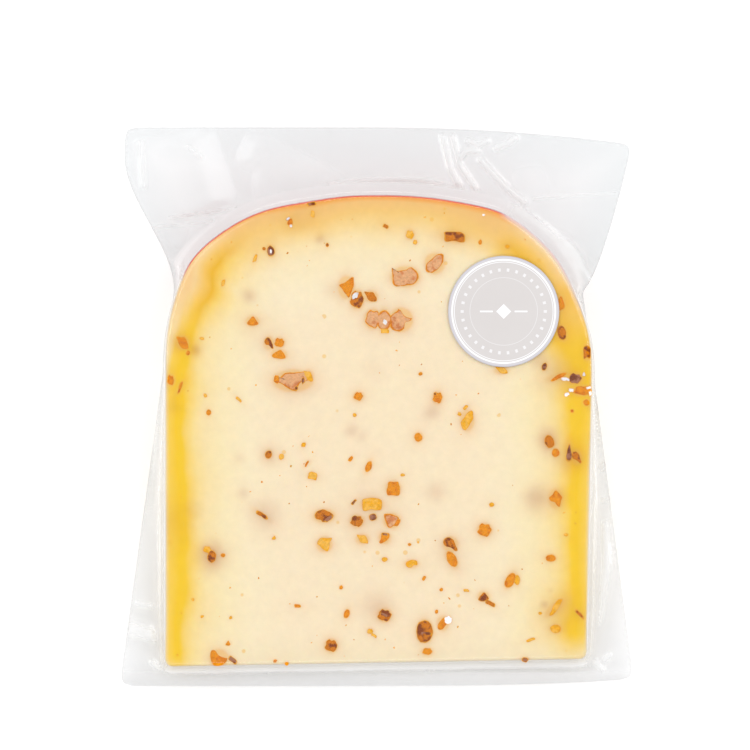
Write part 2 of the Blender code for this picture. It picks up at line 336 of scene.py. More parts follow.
def pouch_reach(spots):
    """Under 1 inside the flat pouch's outline, over 1 outside it."""
    u, v = spots[:, 0], spots[:, 1]
    low = np.clip((v - POUCH_LOW) / (POUCH_WAIST_RADIUS - POUCH_LOW), 0.0, 1.0)
    flare = np.clip((v - POUCH_WAIST_RADIUS) / (POUCH_HIGH - POUCH_WAIST_RADIUS), 0.0, 1.0)
    waist = np.where(u < 0.0, WAIST_LEFT, WAIST_RIGHT)
    half = POUCH_HALF_FOOT + (waist - POUCH_HALF_FOOT) * low
    half += np.where(
        u < 0.0, TOP_FLARE_LEFT * eased(flare / FLARE_ENDS_LEFT), TOP_FLARE_RIGHT * flare**0.7
    )
    rightward = np.clip(u / POUCH_HALF_FOOT, 0.0, 1.0)
    top = POUCH_HIGH - TOP_FALL_RIGHT * rightward**2
    foot = POUCH_LOW + FOOT_RISE_RIGHT * rightward**2.5
    middle = (top + foot) / 2.0
    up = np.abs(v - middle) / (top - middle)
    return (np.abs(u) / half) ** POUCH_CORNER_POWER + up**POUCH_CORNER_POWER


def pouch_edge(line, normal):
    """Where the lines out of the cheese's edge leave the pouch."""
    ray = line - np.array([0.0, 60.0])
    ray = normal + ray / np.linalg.norm(ray, axis=1, keepdims=True)
    ray = ray / np.linalg.norm(ray, axis=1, keepdims=True)
    near, far = np.zeros(len(line)), np.full(len(line), 60.0)
    for _ in range(40):
        middle = (near + far) / 2.0
        inside = pouch_reach(line + ray * middle[:, None]) < 1.0
        near, far = np.where(inside, middle, near), np.where(inside, far, middle)
    return line + ray * np.maximum(near, LEAST_FLANGE)[:, None]


# %% [markdown]
# ## Folds in the flange
#
# The flange is stiff, thin and sealed, so it keeps the creases it got when the air was drawn
# out. Each fold is a ridge along a straight line: from, to, half width and height. Most have a
# soft bell section. A few have one flat side, a facet that throws a lamp back as one soft white
# patch. Both sheets share them, and a slow wave keeps the rest from being flat.

# %% Fold heights
FACETS = (
    ((-52.0, 138.0), (-49.0, 130.0), 5.5, 1.0), ((-43.5, 139.6), (-39.0, 126.0), 8.5, 1.75),
    ((-28.2, 135.9), (-26.8, 139.0), 5.0, 0.95), ((-25.7, 133.9), (-20.5, 133.6), 1.7, 0.8),
    ((-43.5, 119.4), (-44.4, 117.2), 1.2, 0.3), ((33.8, 127.3), (32.2, 131.4), 1.6, 0.4),
)
SOFT_FOLDS = (
    (0.9, 0.45, (15.1, 141.1), (16.9, 133.4), (18.9, 129.4)),
    (0.7, 0.4, (17.3, 141.1), (18.9, 134.5), (22.7, 128.7)),
    (0.8, 0.45, (18.9, 136.3), (20.5, 137.9), (22.7, 137.9)),
    (0.8, 0.4, (20.9, 140.2), (23.2, 139.2), (25.0, 140.2)),
    (0.8, 0.5, (23.6, 135.7), (28.8, 130.0), (33.5, 126.0)),
    (0.7, 0.35, (33.5, 126.0), (31.5, 122.4)),
    (0.9, 0.35, (27.2, 138.6), (29.9, 139.7), (31.5, 140.8)),
    (0.8, 0.3, (-10.6, 130.0), (-3.8, 130.9)),
    (0.8, 0.55, (-3.8, 130.9), (5.2, 131.2), (11.9, 130.7)),
    (0.8, 0.5, (11.9, 130.7), (17.6, 129.4)), (0.8, 0.4, (17.6, 129.4), (23.2, 127.1)),
    (0.6, 0.35, (33.1, 121.9), (37.8, 118.8), (41.6, 115.2), (44.6, 111.1), (47.0, 106.6)),
    (0.6, 0.3, (-54.0, 34.4), (-50.0, 33.5)), (1.6, 0.6, (-55.6, 28.8), (-50.0, 26.8)),
    (0.8, 0.4, (-50.6, 20.9), (-49.3, 19.8)), (0.5, 0.25, (-49.7, 37.3), (-48.8, 22.7)),
    (0.8, 0.4, (50.2, 81.2), (49.5, 73.3), (49.1, 66.6)), (0.7, 0.35, (49.7, 64.3), (52.7, 67.0)),
    (0.5, 0.35, (48.6, 56.9), (52.7, 58.3)), (1.0, 0.4, (48.8, 53.1), (49.5, 44.1)),
    (1.4, 0.6, (51.1, 52.0), (51.8, 43.0), (49.5, 30.6)), (0.8, 0.45, (49.3, 21.1), (50.6, 19.3)),
    (0.7, 0.35, (51.1, 21.6), (52.4, 22.7)),
)
FINE_CREASES = (
    (0.8, 0.25, (-53.8, 139.9), (-53.1, 129.6)), (0.5, 0.2, (-43.0, 138.6), (-40.1, 136.3)),
    (0.35, 0.1, (-51.1, 120.1), (-38.7, 121.5), (-25.9, 124.4)),
    (0.35, 0.1, (-47.0, 122.4), (-36.5, 124.0), (-25.9, 125.8)),
    (0.5, 0.14, (-39.8, 119.2), (-30.8, 122.2), (-12.8, 125.3)),
    (0.35, 0.12, (35.8, 126.9), (44.6, 127.8), (54.5, 128.2)),
    (0.5, 0.22, (35.1, 119.2), (39.4, 114.7), (42.5, 109.8), (45.2, 104.8)),
    (0.6, 0.3, (47.0, 109.8), (48.8, 107.3)),
)
WELD_RIBS = ((-52.3, -50.4, 51.5, 57.0), (52.2, 54.2, 48.4, 56.6))


def fold_height(spots, folds):
    """The highest of the folds at each spot. A fold is half width, height and its corners."""
    height = np.zeros(len(spots))
    for half_width, rise, *corners in folds:
        for start, end in zip(corners, corners[1:]):
            start, line = np.array(start), np.array(end) - np.array(start)
            along = np.clip((spots - start) @ line / (line @ line), 0.0, 1.0)
            away = np.linalg.norm(spots - start - along[:, None] * line, axis=1) / half_width
            height = np.maximum(height, rise * np.exp(-(away**2)))
    return height


def facet_height(spots):
    """Each facet slopes down to the left of its line, and very gently to the right of it."""
    height = np.zeros(len(spots))
    for start, end, width, rise in FACETS:
        start, line = np.array(start), np.array(end) - np.array(start)
        length = math.hypot(*line)
        ahead, left = line / length, np.array([-line[1], line[0]]) / length
        along, across = (spots - start) @ ahead, (spots - start) @ left / width
        past_end = np.maximum(np.maximum(-along, along - length), 0.0)
        fall = np.where(across > 0.0, 1.0 - eased(across), np.maximum(1.0 + across / 5.0, 0.0))
        height = np.maximum(height, rise * fall * np.exp(-((past_end / 2.0) ** 2)))
    return height


def flange_height(spots):
    wave = 0.3 * np.sin(spots[:, 0] / 11.0 + 0.6) * np.sin(spots[:, 1] / 15.0)
    folds = fold_height(spots, SOFT_FOLDS) + fold_height(spots, FINE_CREASES)
    return wave + folds + facet_height(spots)


def weld_ribs(spots):
    """1 in the two short ribbed stretches of the side welds."""
    inside = np.zeros(len(spots))
    for left, right, low, high in WELD_RIBS:
        inside[((spots > (left, low)) & (spots < (right, high))).all(axis=1)] = 1.0
    return inside

# %% [markdown]
# ## Shader groups used by several materials
#
# Mottling, specks and fine creasing turn up in more than one finish. Each is a node group with
# named sockets, built once. The groups only give out values and normals; the shaders that use
# them stay in the materials.

# %% Node helpers
VECTOR, FLOAT, GEOMETRY = "NodeSocketVector", "NodeSocketFloat", "NodeSocketGeometry"


def plug(tree, value, socket):
    """Links an output to a socket, or sets the socket to a number or a colour."""
    if isinstance(value, bpy.types.NodeSocket):
        tree.links.new(value, socket)
    else:
        socket.default_value = value


def add(tree, kind, **values):
    """A new node. Capitalised names are its sockets, with _ for a space, the rest its settings."""
    node = tree.nodes.new(kind)
    for key, value in values.items():
        if key[0].isupper():
            plug(tree, value, node.inputs[key.replace("_", " ")])
        else:
            setattr(node, key, value)
    return node


def worked(tree, kind, operation, *values):
    """What a math node makes of the values, each a number or an output."""
    node = add(tree, kind, operation=operation)
    for socket, value in zip(node.inputs, values):
        plug(tree, value, socket)
    return node.outputs[0]


def math_node(tree, operation, *values):
    return worked(tree, "ShaderNodeMath", operation, *values)


def times(tree, first, second):
    return math_node(tree, "MULTIPLY", first, second)


def plus(tree, first, second):
    return math_node(tree, "ADD", first, second)


def minus(tree, first, second):
    return math_node(tree, "SUBTRACT", first, second)


def gap_to(tree, value, centre):
    """How far a value is from a centre, on either side."""
    return math_node(tree, "ABSOLUTE", minus(tree, value, centre))


def mapped(tree, value, low, high, to_low=0.0, to_high=1.0, smooth=True):
    """A value from low to high, turned into one from to_low to to_high."""
    curve = "SMOOTHSTEP" if smooth else "LINEAR"
    ends = {"From_Min": low, "From_Max": high, "To_Min": to_low, "To_Max": to_high}
    node = add(tree, "ShaderNodeMapRange", clamp=True, interpolation_type=curve, Value=value, **ends)
    return node.outputs["Result"]


def blended(tree, share, first, second):
    """A colour between two others, which are outputs or red, green and blue."""
    node = add(tree, "ShaderNodeMix", data_type="RGBA")
    plug(tree, share, node.inputs[0])
    for socket, colour in ((node.inputs[6], first), (node.inputs[7], second)):
        plug(tree, (*colour, 1.0) if isinstance(colour, tuple) else colour, socket)
    return node.outputs[2]


def stored(tree, name):
    return add(tree, "ShaderNodeAttribute", attribute_name=name).outputs["Fac"]


def new_group(name, kind, inputs, outputs):
    """A node group. Its inputs have a socket kind and a first value, its outputs a kind."""
    group = bpy.data.node_groups.new(name, kind)
    for key, (socket_kind, value) in inputs.items():
        socket = group.interface.new_socket(key, in_out="INPUT", socket_type=socket_kind)
        if value is not None:
            socket.default_value = value
    for key, socket_kind in outputs.items():
        group.interface.new_socket(key, in_out="OUTPUT", socket_type=socket_kind)
    entry = group.nodes.new("NodeGroupInput")
    return group, entry.outputs, group.nodes.new("NodeGroupOutput").inputs

# %% Mottling group: soft cloudy patches at two scales


def mottling_group():
    group, given, out = new_group(
        "soft_mottling",
        "ShaderNodeTree",
        {"Place": (VECTOR, None), "Patches per metre": (FLOAT, 60.0), "Fineness": (FLOAT, 3.0)},
        {"Cloud": FLOAT, "Grain": FLOAT},
    )
    place, coarse = given["Place"], given["Patches per metre"]
    fine = times(group, coarse, given["Fineness"])
    for name, scale, detail, roughness in (("Cloud", coarse, 3.0, 0.5), ("Grain", fine, 4.0, 0.6)):
        look = {"Vector": place, "Scale": scale, "Detail": detail, "Roughness": roughness}
        noise = add(group, "ShaderNodeTexNoise", **look)
        plug(group, noise.outputs["Fac"], out[name])
    return group

# %% Speck group: tiny dots, some cells left empty


def speck_group():
    group, given, out = new_group(
        "tiny_specks",
        "ShaderNodeTree",
        {
            "Place": (VECTOR, None),
            "Cells per metre": (FLOAT, 260.0),
            "Size": (FLOAT, 0.16),
            "Share": (FLOAT, 0.3),
        },
        {"Speck": FLOAT},
    )
    look = {"Vector": given["Place"], "Scale": given["Cells per metre"], "Randomness": 1.0}
    cells = add(group, "ShaderNodeTexVoronoi", feature="F1", **look)
    parts = add(group, "ShaderNodeSeparateColor", Color=cells.outputs["Color"])
    kept = math_node(group, "LESS_THAN", parts.outputs[0], given["Share"])
    reach = times(group, given["Size"], parts.outputs[1])
    dot = mapped(group, minus(group, reach, cells.outputs["Distance"]), -0.03, 0.05)
    plug(group, times(group, dot, kept), out["Speck"])
    return group


mottling, specks = mottling_group(), speck_group()
print("shader groups", [g.name for g in (mottling, specks)])

# %% What every material starts and ends with


def new_material(name, patches_per_metre, fineness):
    """A material with mottling in it: itself, its tree, the place, and both mottled values."""
    material = bpy.data.materials.new(name)
    material.use_nodes = True
    tree = material.node_tree
    tree.nodes.clear()
    place = add(tree, "ShaderNodeTexCoord").outputs["Object"]
    look = {"Place": place, "Patches_per_metre": patches_per_metre, "Fineness": fineness}
    patches = add(tree, "ShaderNodeGroup", node_tree=mottling, **look)
    return material, tree, place, patches.outputs["Cloud"], patches.outputs["Grain"]


def bumped(tree, height, strength, distance):
    """The normal of a rough surface."""
    look = {"Height": height, "Strength": strength, "Distance": distance}
    return add(tree, "ShaderNodeBump", **look).outputs[0]


def brightened(tree, colour, factor):
    look = {"Vector": colour, "Scale": factor}
    return add(tree, "ShaderNodeVectorMath", operation="SCALE", **look).outputs[0]


def surfaced(tree, shader):
    add(tree, "ShaderNodeOutputMaterial", Surface=shader.outputs[0])

# %% [markdown]
# ## Where the seeds and nut bits are
#
# The larger bits at the upper face are listed one by one, as they give this wedge its face:
# across, out, width, height, turn in degrees and shape. Buried bits lie a little below the
# surface and show through the paste as soft blurred spots: across, out, radius and strength.

# %% Bits set one by one
ORANGE_SEEDS = (
    (9.3, 71.7, 1.6, 1.8, 0, "round"), (-19.6, 120.1, 1.1, 1.8, 0, "rough"),
    (-28.0, 97.8, 2.4, 1.9, 0, "kite"), (-22.0, 93.0, 2.1, 1.9, 0, "rough"),
    (-22.0, 90.4, 2.9, 1.9, -10, "kite"), (-43.8, 93.0, 2.6, 2.8, 0, "leaf"),
    (-42.5, 90.7, 0.8, 0.9, 0, "round"), (-6.9, 105.4, 3.2, 4.5, 0, "bow"),
    (41.3, 101.9, 1.8, 3.1, 0, "kite"), (46.3, 82.2, 4.0, 2.0, 0, "rough"),
    (40.9, 85.3, 3.8, 1.1, 14, "streak"), (-4.2, 80.9, 2.0, 1.8, 0, "rough"),
    (13.6, 80.6, 2.0, 2.4, 0, "rough"), (24.2, 50.8, 3.0, 2.8, 0, "rough"),
    (3.7, 60.2, 2.9, 3.0, 0, "square"), (1.7, 49.0, 2.2, 2.2, 0, "shard"),
    (16.8, 44.3, 1.9, 3.7, 28, "oval"), (30.0, 39.5, 1.9, 3.4, -28, "oval"),
    (14.8, 29.8, 2.1, 2.7, 0, "drop"), (-35.6, 22.0, 3.7, 3.6, 0, "wedge"),
    (40.2, 57.9, 2.8, 3.7, 0, "diamond"), (40.2, 68.2, 1.5, 1.7, 0, "round"),
    (39.1, 44.5, 2.0, 1.4, 0, "oval"), (47.1, 79.5, 1.4, 1.2, 0, "round"),
    (-46.4, 84.5, 1.5, 2.2, 0, "rough"), (-44.3, 82.9, 2.7, 0.9, 55, "streak"),
    (-15.8, 65.7, 1.4, 0.7, 40, "streak"), (-5.9, 66.8, 1.1, 0.6, 45, "bar"),
    (-1.9, 65.1, 1.1, 2.5, -22, "oval"), (9.8, 86.0, 0.7, 0.6, 0, "round"),
    (-34.7, 45.1, 0.8, 0.7, 0, "round"), (-33.5, 25.3, 0.9, 0.8, 0, "kite"),
    (11.3, 23.5, 2.0, 1.5, 0, "rough"), (-6.8, 32.0, 1.1, 1.8, -15, "oval"),
    (43.9, 77.6, 0.6, 0.6, 0, "round"), (14.5, 37.4, 0.6, 0.7, 0, "round"),
    (10.6, 40.0, 0.9, 0.6, 45, "bar"), (13.4, 32.4, 0.6, 0.7, 0, "round"),
    (7.3, 47.6, 0.6, 0.5, 0, "round"), (-8.1, 37.9, 0.6, 0.7, 0, "round"),
    (-22.6, 84.7, 1.1, 1.7, 0, "rough"), (-37.9, 77.2, 0.9, 1.2, 0, "round"),
    (-17.9, 33.7, 1.4, 0.6, -8, "bar"), (-22.9, 21.3, 0.6, 0.6, 0, "round"),
    (-20.3, 20.7, 0.6, 0.6, 0, "round"), (4.5, 52.4, 0.8, 2.0, -30, "bar"),
    (23.2, 115.6, 0.6, 1.0, 0, "round"),
)
GOLDEN_SEEDS = (
    (-27.4, 111.9, 0.6, 1.8, -15, "bar"), (-34.6, 106.4, 0.6, 1.4, -10, "bar"),
    (20.3, 75.5, 2.7, 4.1, 0, "drop"), (20.0, 78.4, 1.1, 0.6, 40, "bar"),
    (18.6, 76.9, 0.8, 0.7, 0, "rough"), (-11.8, 47.6, 3.1, 2.9, 0, "flag"),
    (-3.3, 48.8, 2.3, 1.9, 0, "leaf"), (7.8, 43.2, 2.4, 1.5, 0, "bean"),
    (1.7, 44.2, 1.1, 0.8, 0, "round"), (31.5, 39.6, 1.1, 2.1, 0, "oval"),
    (1.8, 95.6, 1.7, 0.9, 0, "slab"), (28.0, 86.8, 2.5, 1.5, 0, "leaf"),
    (-14.5, 63.0, 1.8, 1.4, -12, "slab"), (-16.5, 70.0, 0.7, 1.0, -20, "bar"),
    (-5.0, 76.7, 0.6, 0.6, 0, "round"), (-1.1, 56.6, 4.3, 2.7, 0, "slab"),
    (-1.5, 28.0, 1.2, 1.1, 0, "rough"), (-0.7, 27.0, 1.0, 0.5, -40, "bar"),
    (-31.1, 80.2, 1.4, 0.5, -45, "bar"), (-38.6, 81.1, 0.6, 0.6, 0, "round"),
    (-39.4, 93.9, 0.8, 0.5, 0, "round"), (25.8, 56.5, 0.9, 0.7, 0, "round"),
    (34.6, 26.1, 1.8, 0.5, 15, "bar"), (40.2, 33.4, 4.3, 1.6, 40, "streak"),
    (40.2, 28.6, 2.2, 1.6, 0, "round"), (-38.2, 46.4, 1.6, 1.4, 0, "rough"),
    (-41.4, 35.2, 0.5, 0.5, 0, "round"), (-39.4, 31.3, 0.5, 0.5, 0, "round"),
    (-32.9, 31.1, 0.5, 0.5, 0, "round"), (20.1, 37.2, 1.1, 0.5, -15, "bar"),
    (36.7, 32.1, 0.6, 0.5, 0, "round"), (42.5, 49.7, 0.7, 0.5, 0, "round"),
    (7.4, 117.3, 1.6, 1.8, 0, "rough"), (8.6, 115.6, 0.8, 0.9, 0, "rough"),
    (29.3, 114.6, 0.9, 0.7, 0, "round"), (-15.5, 85.5, 2.0, 2.2, 0, "leaf"),
    (-14.5, 121.9, 0.8, 1.4, 0, "rough"), (-21.5, 67.3, 0.9, 1.0, 0, "round"),
    (-23.2, 49.1, 0.7, 0.7, 0, "kite"), (5.8, 63.2, 0.7, 0.5, 0, "round"),
)
BROWN_SEEDS = (
    (45.6, 31.9, 2.6, 0.6, -48, "bar"), (10.7, 28.0, 3.6, 4.9, 0, "round"),
    (-37.2, 44.9, 1.8, 2.7, 0, "oval"), (-4.5, 102.7, 3.0, 3.9, 0, "rough"),
    (-1.5, 103.4, 2.7, 2.1, 0, "leaf"), (17.5, 116.8, 4.7, 2.2, -5, "slab"),
    (-4.5, 52.8, 2.8, 2.5, 0, "rough"), (-11.9, 54.0, 4.1, 2.7, 0, "almond"),
    (16.5, 47.6, 3.0, 3.0, 0, "comma"), (1.7, 31.6, 2.9, 2.7, 0, "rough"),
    (-10.3, 24.8, 2.7, 2.7, 0, "rough"), (-24.3, 92.9, 1.9, 2.4, 0, "comma"),
    (38.8, 70.7, 2.0, 2.8, 20, "oval"), (41.6, 95.2, 1.8, 3.1, 15, "oval"),
    (47.3, 90.8, 1.5, 2.9, 0, "slab"), (-24.4, 67.8, 1.4, 1.6, 0, "round"),
    (24.0, 35.8, 2.2, 1.9, 0, "kite"), (25.5, 34.3, 2.2, 0.9, -30, "bar"),
    (-25.9, 54.2, 2.9, 0.8, -35, "bar"), (2.0, 119.1, 1.2, 0.7, -35, "bar"),
    (-25.4, 114.1, 0.6, 0.6, 0, "round"), (-11.2, 115.0, 0.5, 0.8, 0, "round"),
    (44.9, 67.2, 2.0, 2.6, 0, "comma"), (10.6, 28.5, 1.2, 1.6, 0, "kite"),
    (10.3, 26.2, 1.2, 1.2, 0, "kite"),
)
DARK_HUSKS = (
    (-0.9, 53.7, 1.5, 1.4, 0, "round"), (44.6, 84.9, 3.0, 2.2, 0, "rough"),
    (43.2, 68.2, 1.3, 3.8, 0, "kite"), (-32.5, 21.5, 2.0, 1.0, -45, "bar"),
    (-5.2, 57.1, 1.4, 0.5, 45, "bar"), (-14.7, 124.2, 2.0, 0.8, 8, "bar"),
    (33.3, 21.6, 1.3, 1.0, 0, "rough"), (37.7, 87.6, 1.1, 1.6, -15, "oval"),
    (11.0, 27.5, 2.8, 0.8, -3, "bar"), (1.8, 49.8, 1.4, 0.5, -15, "bar"),
    (1.6, 31.7, 1.8, 0.7, -25, "bar"), (-10.9, 53.4, 2.0, 0.9, 35, "bar"),
    (-16.6, 84.4, 0.6, 1.4, 10, "bar"), (-18.1, 82.7, 0.5, 0.9, 0, "bar"),
    (13.1, 81.5, 0.5, 0.4, 0, "round"), (-23.9, 113.6, 1.5, 2.3, 12, "oval"),
)
NUT_SLICES = (
    (6.4, 107.8, 5.9, 4.2, 0, "lump"), (13.0, 110.8, 4.0, 4.2, 0, "drop"),
    (-18.9, 84.4, 8.1, 4.5, 0, "nugget"), (-0.9, 98.3, 3.4, 4.0, 0, "rough"),
    (1.6, 98.0, 3.1, 4.3, 0, "oval"), (5.4, 98.1, 4.9, 5.0, 0, "star"),
    (3.3, 52.9, 3.2, 3.0, 0, "shield"),
)
# Painted highlights: small near white bits set where the film glints over the seeds.
WHITE_GLINTS = (
    (-4.9, 103.5, 1.1, 1.8, -20, "bean"), (1.8, 97.6, 1.0, 1.2, 0, "rough"),
    (16.0, 30.6, 1.7, 1.9, 20, "rough"), (42.4, 84.7, 2.1, 0.8, -15, "bean"),
    (43.7, 82.3, 1.1, 0.8, -20, "bean"), (42.7, 81.3, 1.1, 0.8, 10, "bean"),
    (48.0, 81.6, 0.5, 1.1, 10, "bar"), (46.6, 85.9, 0.6, 0.8, 0, "kite"),
    (47.6, 82.8, 1.2, 0.5, 15, "bar"), (-20.0, 120.9, 0.9, 0.5, 30, "bar"),
    (-19.4, 119.2, 0.5, 0.7, 0, "round"), (-23.9, 113.5, 0.5, 1.2, 12, "oval"),
    (24.0, 121.7, 0.7, 0.5, 0, "round"),
)
ALL_BITS = ORANGE_SEEDS + GOLDEN_SEEDS + BROWN_SEEDS + DARK_HUSKS + NUT_SLICES
BURIED_BITS = (
    (-40.9, 91.3, 1.4, 0.7), (-28.8, 103.5, 1.6, 0.5), (-12.8, 116.3, 1.1, 0.5),
    (-10.3, 104.8, 2.0, 0.22), (-5.6, 73.1, 1.6, 0.38), (-3.4, 72.0, 1.4, 0.25),
    (-30.0, 59.1, 1.4, 0.3), (12.2, 77.2, 2.0, 0.4), (13.2, 59.4, 2.2, 0.35),
    (35.8, 58.0, 2.9, 0.6), (-0.2, 33.7, 3.6, 0.35), (-25.2, 54.2, 3.4, 0.42),
    (-24.1, 67.7, 2.2, 0.3), (17.6, 102.1, 1.8, 0.22), (-2.5, 54.9, 5.4, 0.25),
    (-19.1, 83.5, 5.0, 0.14), (0.7, 99.9, 5.9, 0.1), (16.4, 45.9, 4.0, 0.14),
    (-37.1, 45.0, 3.1, 0.7), (-45.5, 52.5, 5.0, 0.25), (41.0, 86.5, 4.5, 0.45),
    (43.5, 67.5, 3.2, 0.6), (38.7, 70.8, 2.6, 0.6), (40.3, 57.8, 2.0, 0.3),
    (41.6, 32.4, 4.5, 0.35), (37.7, 34.0, 1.1, 0.55), (39.0, 37.1, 0.9, 0.28),
    (-0.7, 87.0, 2.5, 0.14), (-46.6, 48.1, 0.9, 0.35), (-42.1, 54.9, 2.7, 0.3),
    (-45.5, 78.3, 1.8, 0.25), (-31.1, 67.0, 1.4, 0.22), (-17.3, 120.1, 2.5, 0.22),
    (45.2, 31.7, 2.2, 0.35), (-44.3, 93.1, 2.0, 0.3), (-26.0, 94.5, 4.5, 0.14),
    (34.0, 57.6, 1.6, 0.3), (15.8, 116.1, 2.2, 0.15), (36.7, 89.0, 2.5, 0.4),
)
print("bits set by hand", len(ALL_BITS), "buried", len(BURIED_BITS))

# %% [markdown]
# ## The cheese
#
# The paste is palest in the middle and turns yellow, then orange, towards the rind, where it
# has dried and taken up colour. Those changes follow the distance from the rind, which is hard
# to work out in a shader but easy here, so each point of the mesh stores it. Stains round the
# seeds are stored in the same way. The shader then adds what is finer than the mesh.

# %% Values the paste stores
LABEL_ACROSS = 28.5
LABEL_OUT = 100.0
LABEL_RADIUS = 12.5
PASTE_INSET = 0.15
RIND_ENDS = -0.6
GLOW_REACH = 0.35
HALO_REACH = 1.3
SHOULDER_SHIFT = 2.0
GOLDEN_DEPTH = 4.5
GOLDEN_PATCHES = (
    (42.5, 101.5, 7.5, 0.95), (43.5, 92.5, 7.0, 0.9), (40.0, 33.5, 6.0, 0.6),
    (-1.0, 117.0, 7.0, 0.15), (47.0, 82.0, 9.0, 0.6), (-27.0, 116.0, 6.0, 0.35),
)
has_rind = edge_out[:, 1] > RIND_ENDS
rind_line, rind_out = edge_line[has_rind], edge_out[has_rind]


def bell(spots, middle, size):
    """1 at the middle, falling softly to 0 round it."""
    return np.exp(-((spots - middle) ** 2).sum(axis=1) / size**2)


def paste_values(across, out):
    """Distance from the rind, how far round the rim that is, and stains at each spot."""
    spots = np.column_stack([across, out])
    depth, which = nearest_on(rind_line, spots)
    rim = rind_out[which, 1]
    stain, halo, glow = np.zeros((3, len(spots)))
    for u, v, size, strength in BURIED_BITS:
        stain = np.maximum(stain, strength * bell(spots, (u, v), size))
    for u, v, width, height, turn, _ in ALL_BITS:
        turn = math.radians(turn)
        apart = spots - (u, v)
        x = (apart[:, 0] * math.cos(turn) + apart[:, 1] * math.sin(turn)) / (width / 2.0)
        y = (apart[:, 1] * math.cos(turn) - apart[:, 0] * math.sin(turn)) / (height / 2.0)
        size = min(width, height)
        outside = np.maximum(np.hypot(x, y) - 1.0, 0.0) * size / 2.0
        glow = np.maximum(glow, min(1.0, size / 1.5) * np.exp(-((outside / GLOW_REACH) ** 2)))
        halo = np.maximum(halo, min(1.0, size / 2.2) * np.exp(-((outside / HALO_REACH) ** 1.4)))
    near_shoulder = eased((out - 84.0) / 14.0) * (1.0 - eased((rim - 0.35) / 0.3))
    depth = np.maximum(depth - SHOULDER_SHIFT * near_shoulder, 0.0)
    for u, v, size, share in GOLDEN_PATCHES:
        depth += (GOLDEN_DEPTH - depth) * share * bell(spots, (u, v), size)
    room = eased((depth - 1.0) / 1.5) * eased((out - TIP_RADIUS - 1.0) / 1.0)
    away = np.hypot(across - LABEL_ACROSS, out - LABEL_OUT)
    clear = room * eased((away - LABEL_RADIUS - 0.6) / 0.5) * (halo < 0.35)
    values = {"depth": depth, "rim": rim, "stain": stain, "halo": halo, "glow": glow}
    values["foot"] = out - TIP_RADIUS + 5.0 * eased((-across - 35.0) / 5.0)
    return values | {"room_above": clear, "room_below": room}

# %% The paste's material
RAMP_DEPTH = 20.0
FROM_SIDE = (
    (0.0, 0.93, 0.74, 0.38), (1.2, 0.94, 0.635, 0.08), (3.0, 0.935, 0.605, 0.012),
    (4.4, 0.94, 0.615, 0.022), (5.8, 0.95, 0.675, 0.165), (7.4, 0.95, 0.735, 0.3),
    (9.5, 0.955, 0.77, 0.41), (13.5, 0.96, 0.81, 0.5), (20.0, 0.96, 0.82, 0.56),
)
FROM_SHOULDER = (
    (0.3, 0.92, 0.62, 0.28), (1.5, 0.93, 0.66, 0.3), (3.2, 0.92, 0.58, 0.12),
    (5.0, 0.86, 0.49, 0.02), (7.0, 0.945, 0.645, 0.125), (9.0, 0.955, 0.71, 0.26),
    (12.0, 0.955, 0.78, 0.43), (17.0, 0.95, 0.8, 0.51), (20.0, 0.955, 0.81, 0.54),
)
FROM_TOP = (
    (0.3, 0.87, 0.25, 0.035), (1.0, 0.87, 0.42, 0.09), (1.8, 0.88, 0.54, 0.19),
    (4.6, 0.91, 0.6, 0.195), (6.8, 0.935, 0.68, 0.285), (9.0, 0.95, 0.76, 0.43),
    (12.0, 0.955, 0.8, 0.515), (20.0, 0.96, 0.83, 0.58),
)
PASTE_MIDDLE = (0.953, 0.797, 0.56)
STAIN_BROWN = (0.56, 0.29, 0.16)
STAIN_OCHRE = (0.66, 0.30, 0.012)
HALO_TAN = (0.82, 0.52, 0.28)
HALO_OCHRE = (0.80, 0.40, 0.012)
GLOW_GOLD = (0.88, 0.50, 0.12)
FRINGE_GOLD = (0.90, 0.43, 0.03)
SPECK_ORANGE = (0.88, 0.50, 0.05)
FOOT_CREAM = (0.90, 0.77, 0.52)


def by_depth(tree, depth, stops):
    """A colour that follows the distance from the rind. A stop is mm, red, green and blue."""
    share = math_node(tree, "DIVIDE", depth, RAMP_DEPTH)
    node = add(tree, "ShaderNodeValToRGB", Fac=share)
    line = node.color_ramp.elements
    for element, stop in ((line[0], stops[0]), (line[1], stops[-1])):
        element.position, element.color = stop[0] / RAMP_DEPTH, (*stop[1:], 1.0)
    for place, *colour in stops[1:-1]:
        line.new(place / RAMP_DEPTH).color = (*colour, 1.0)
    return node.outputs["Color"]


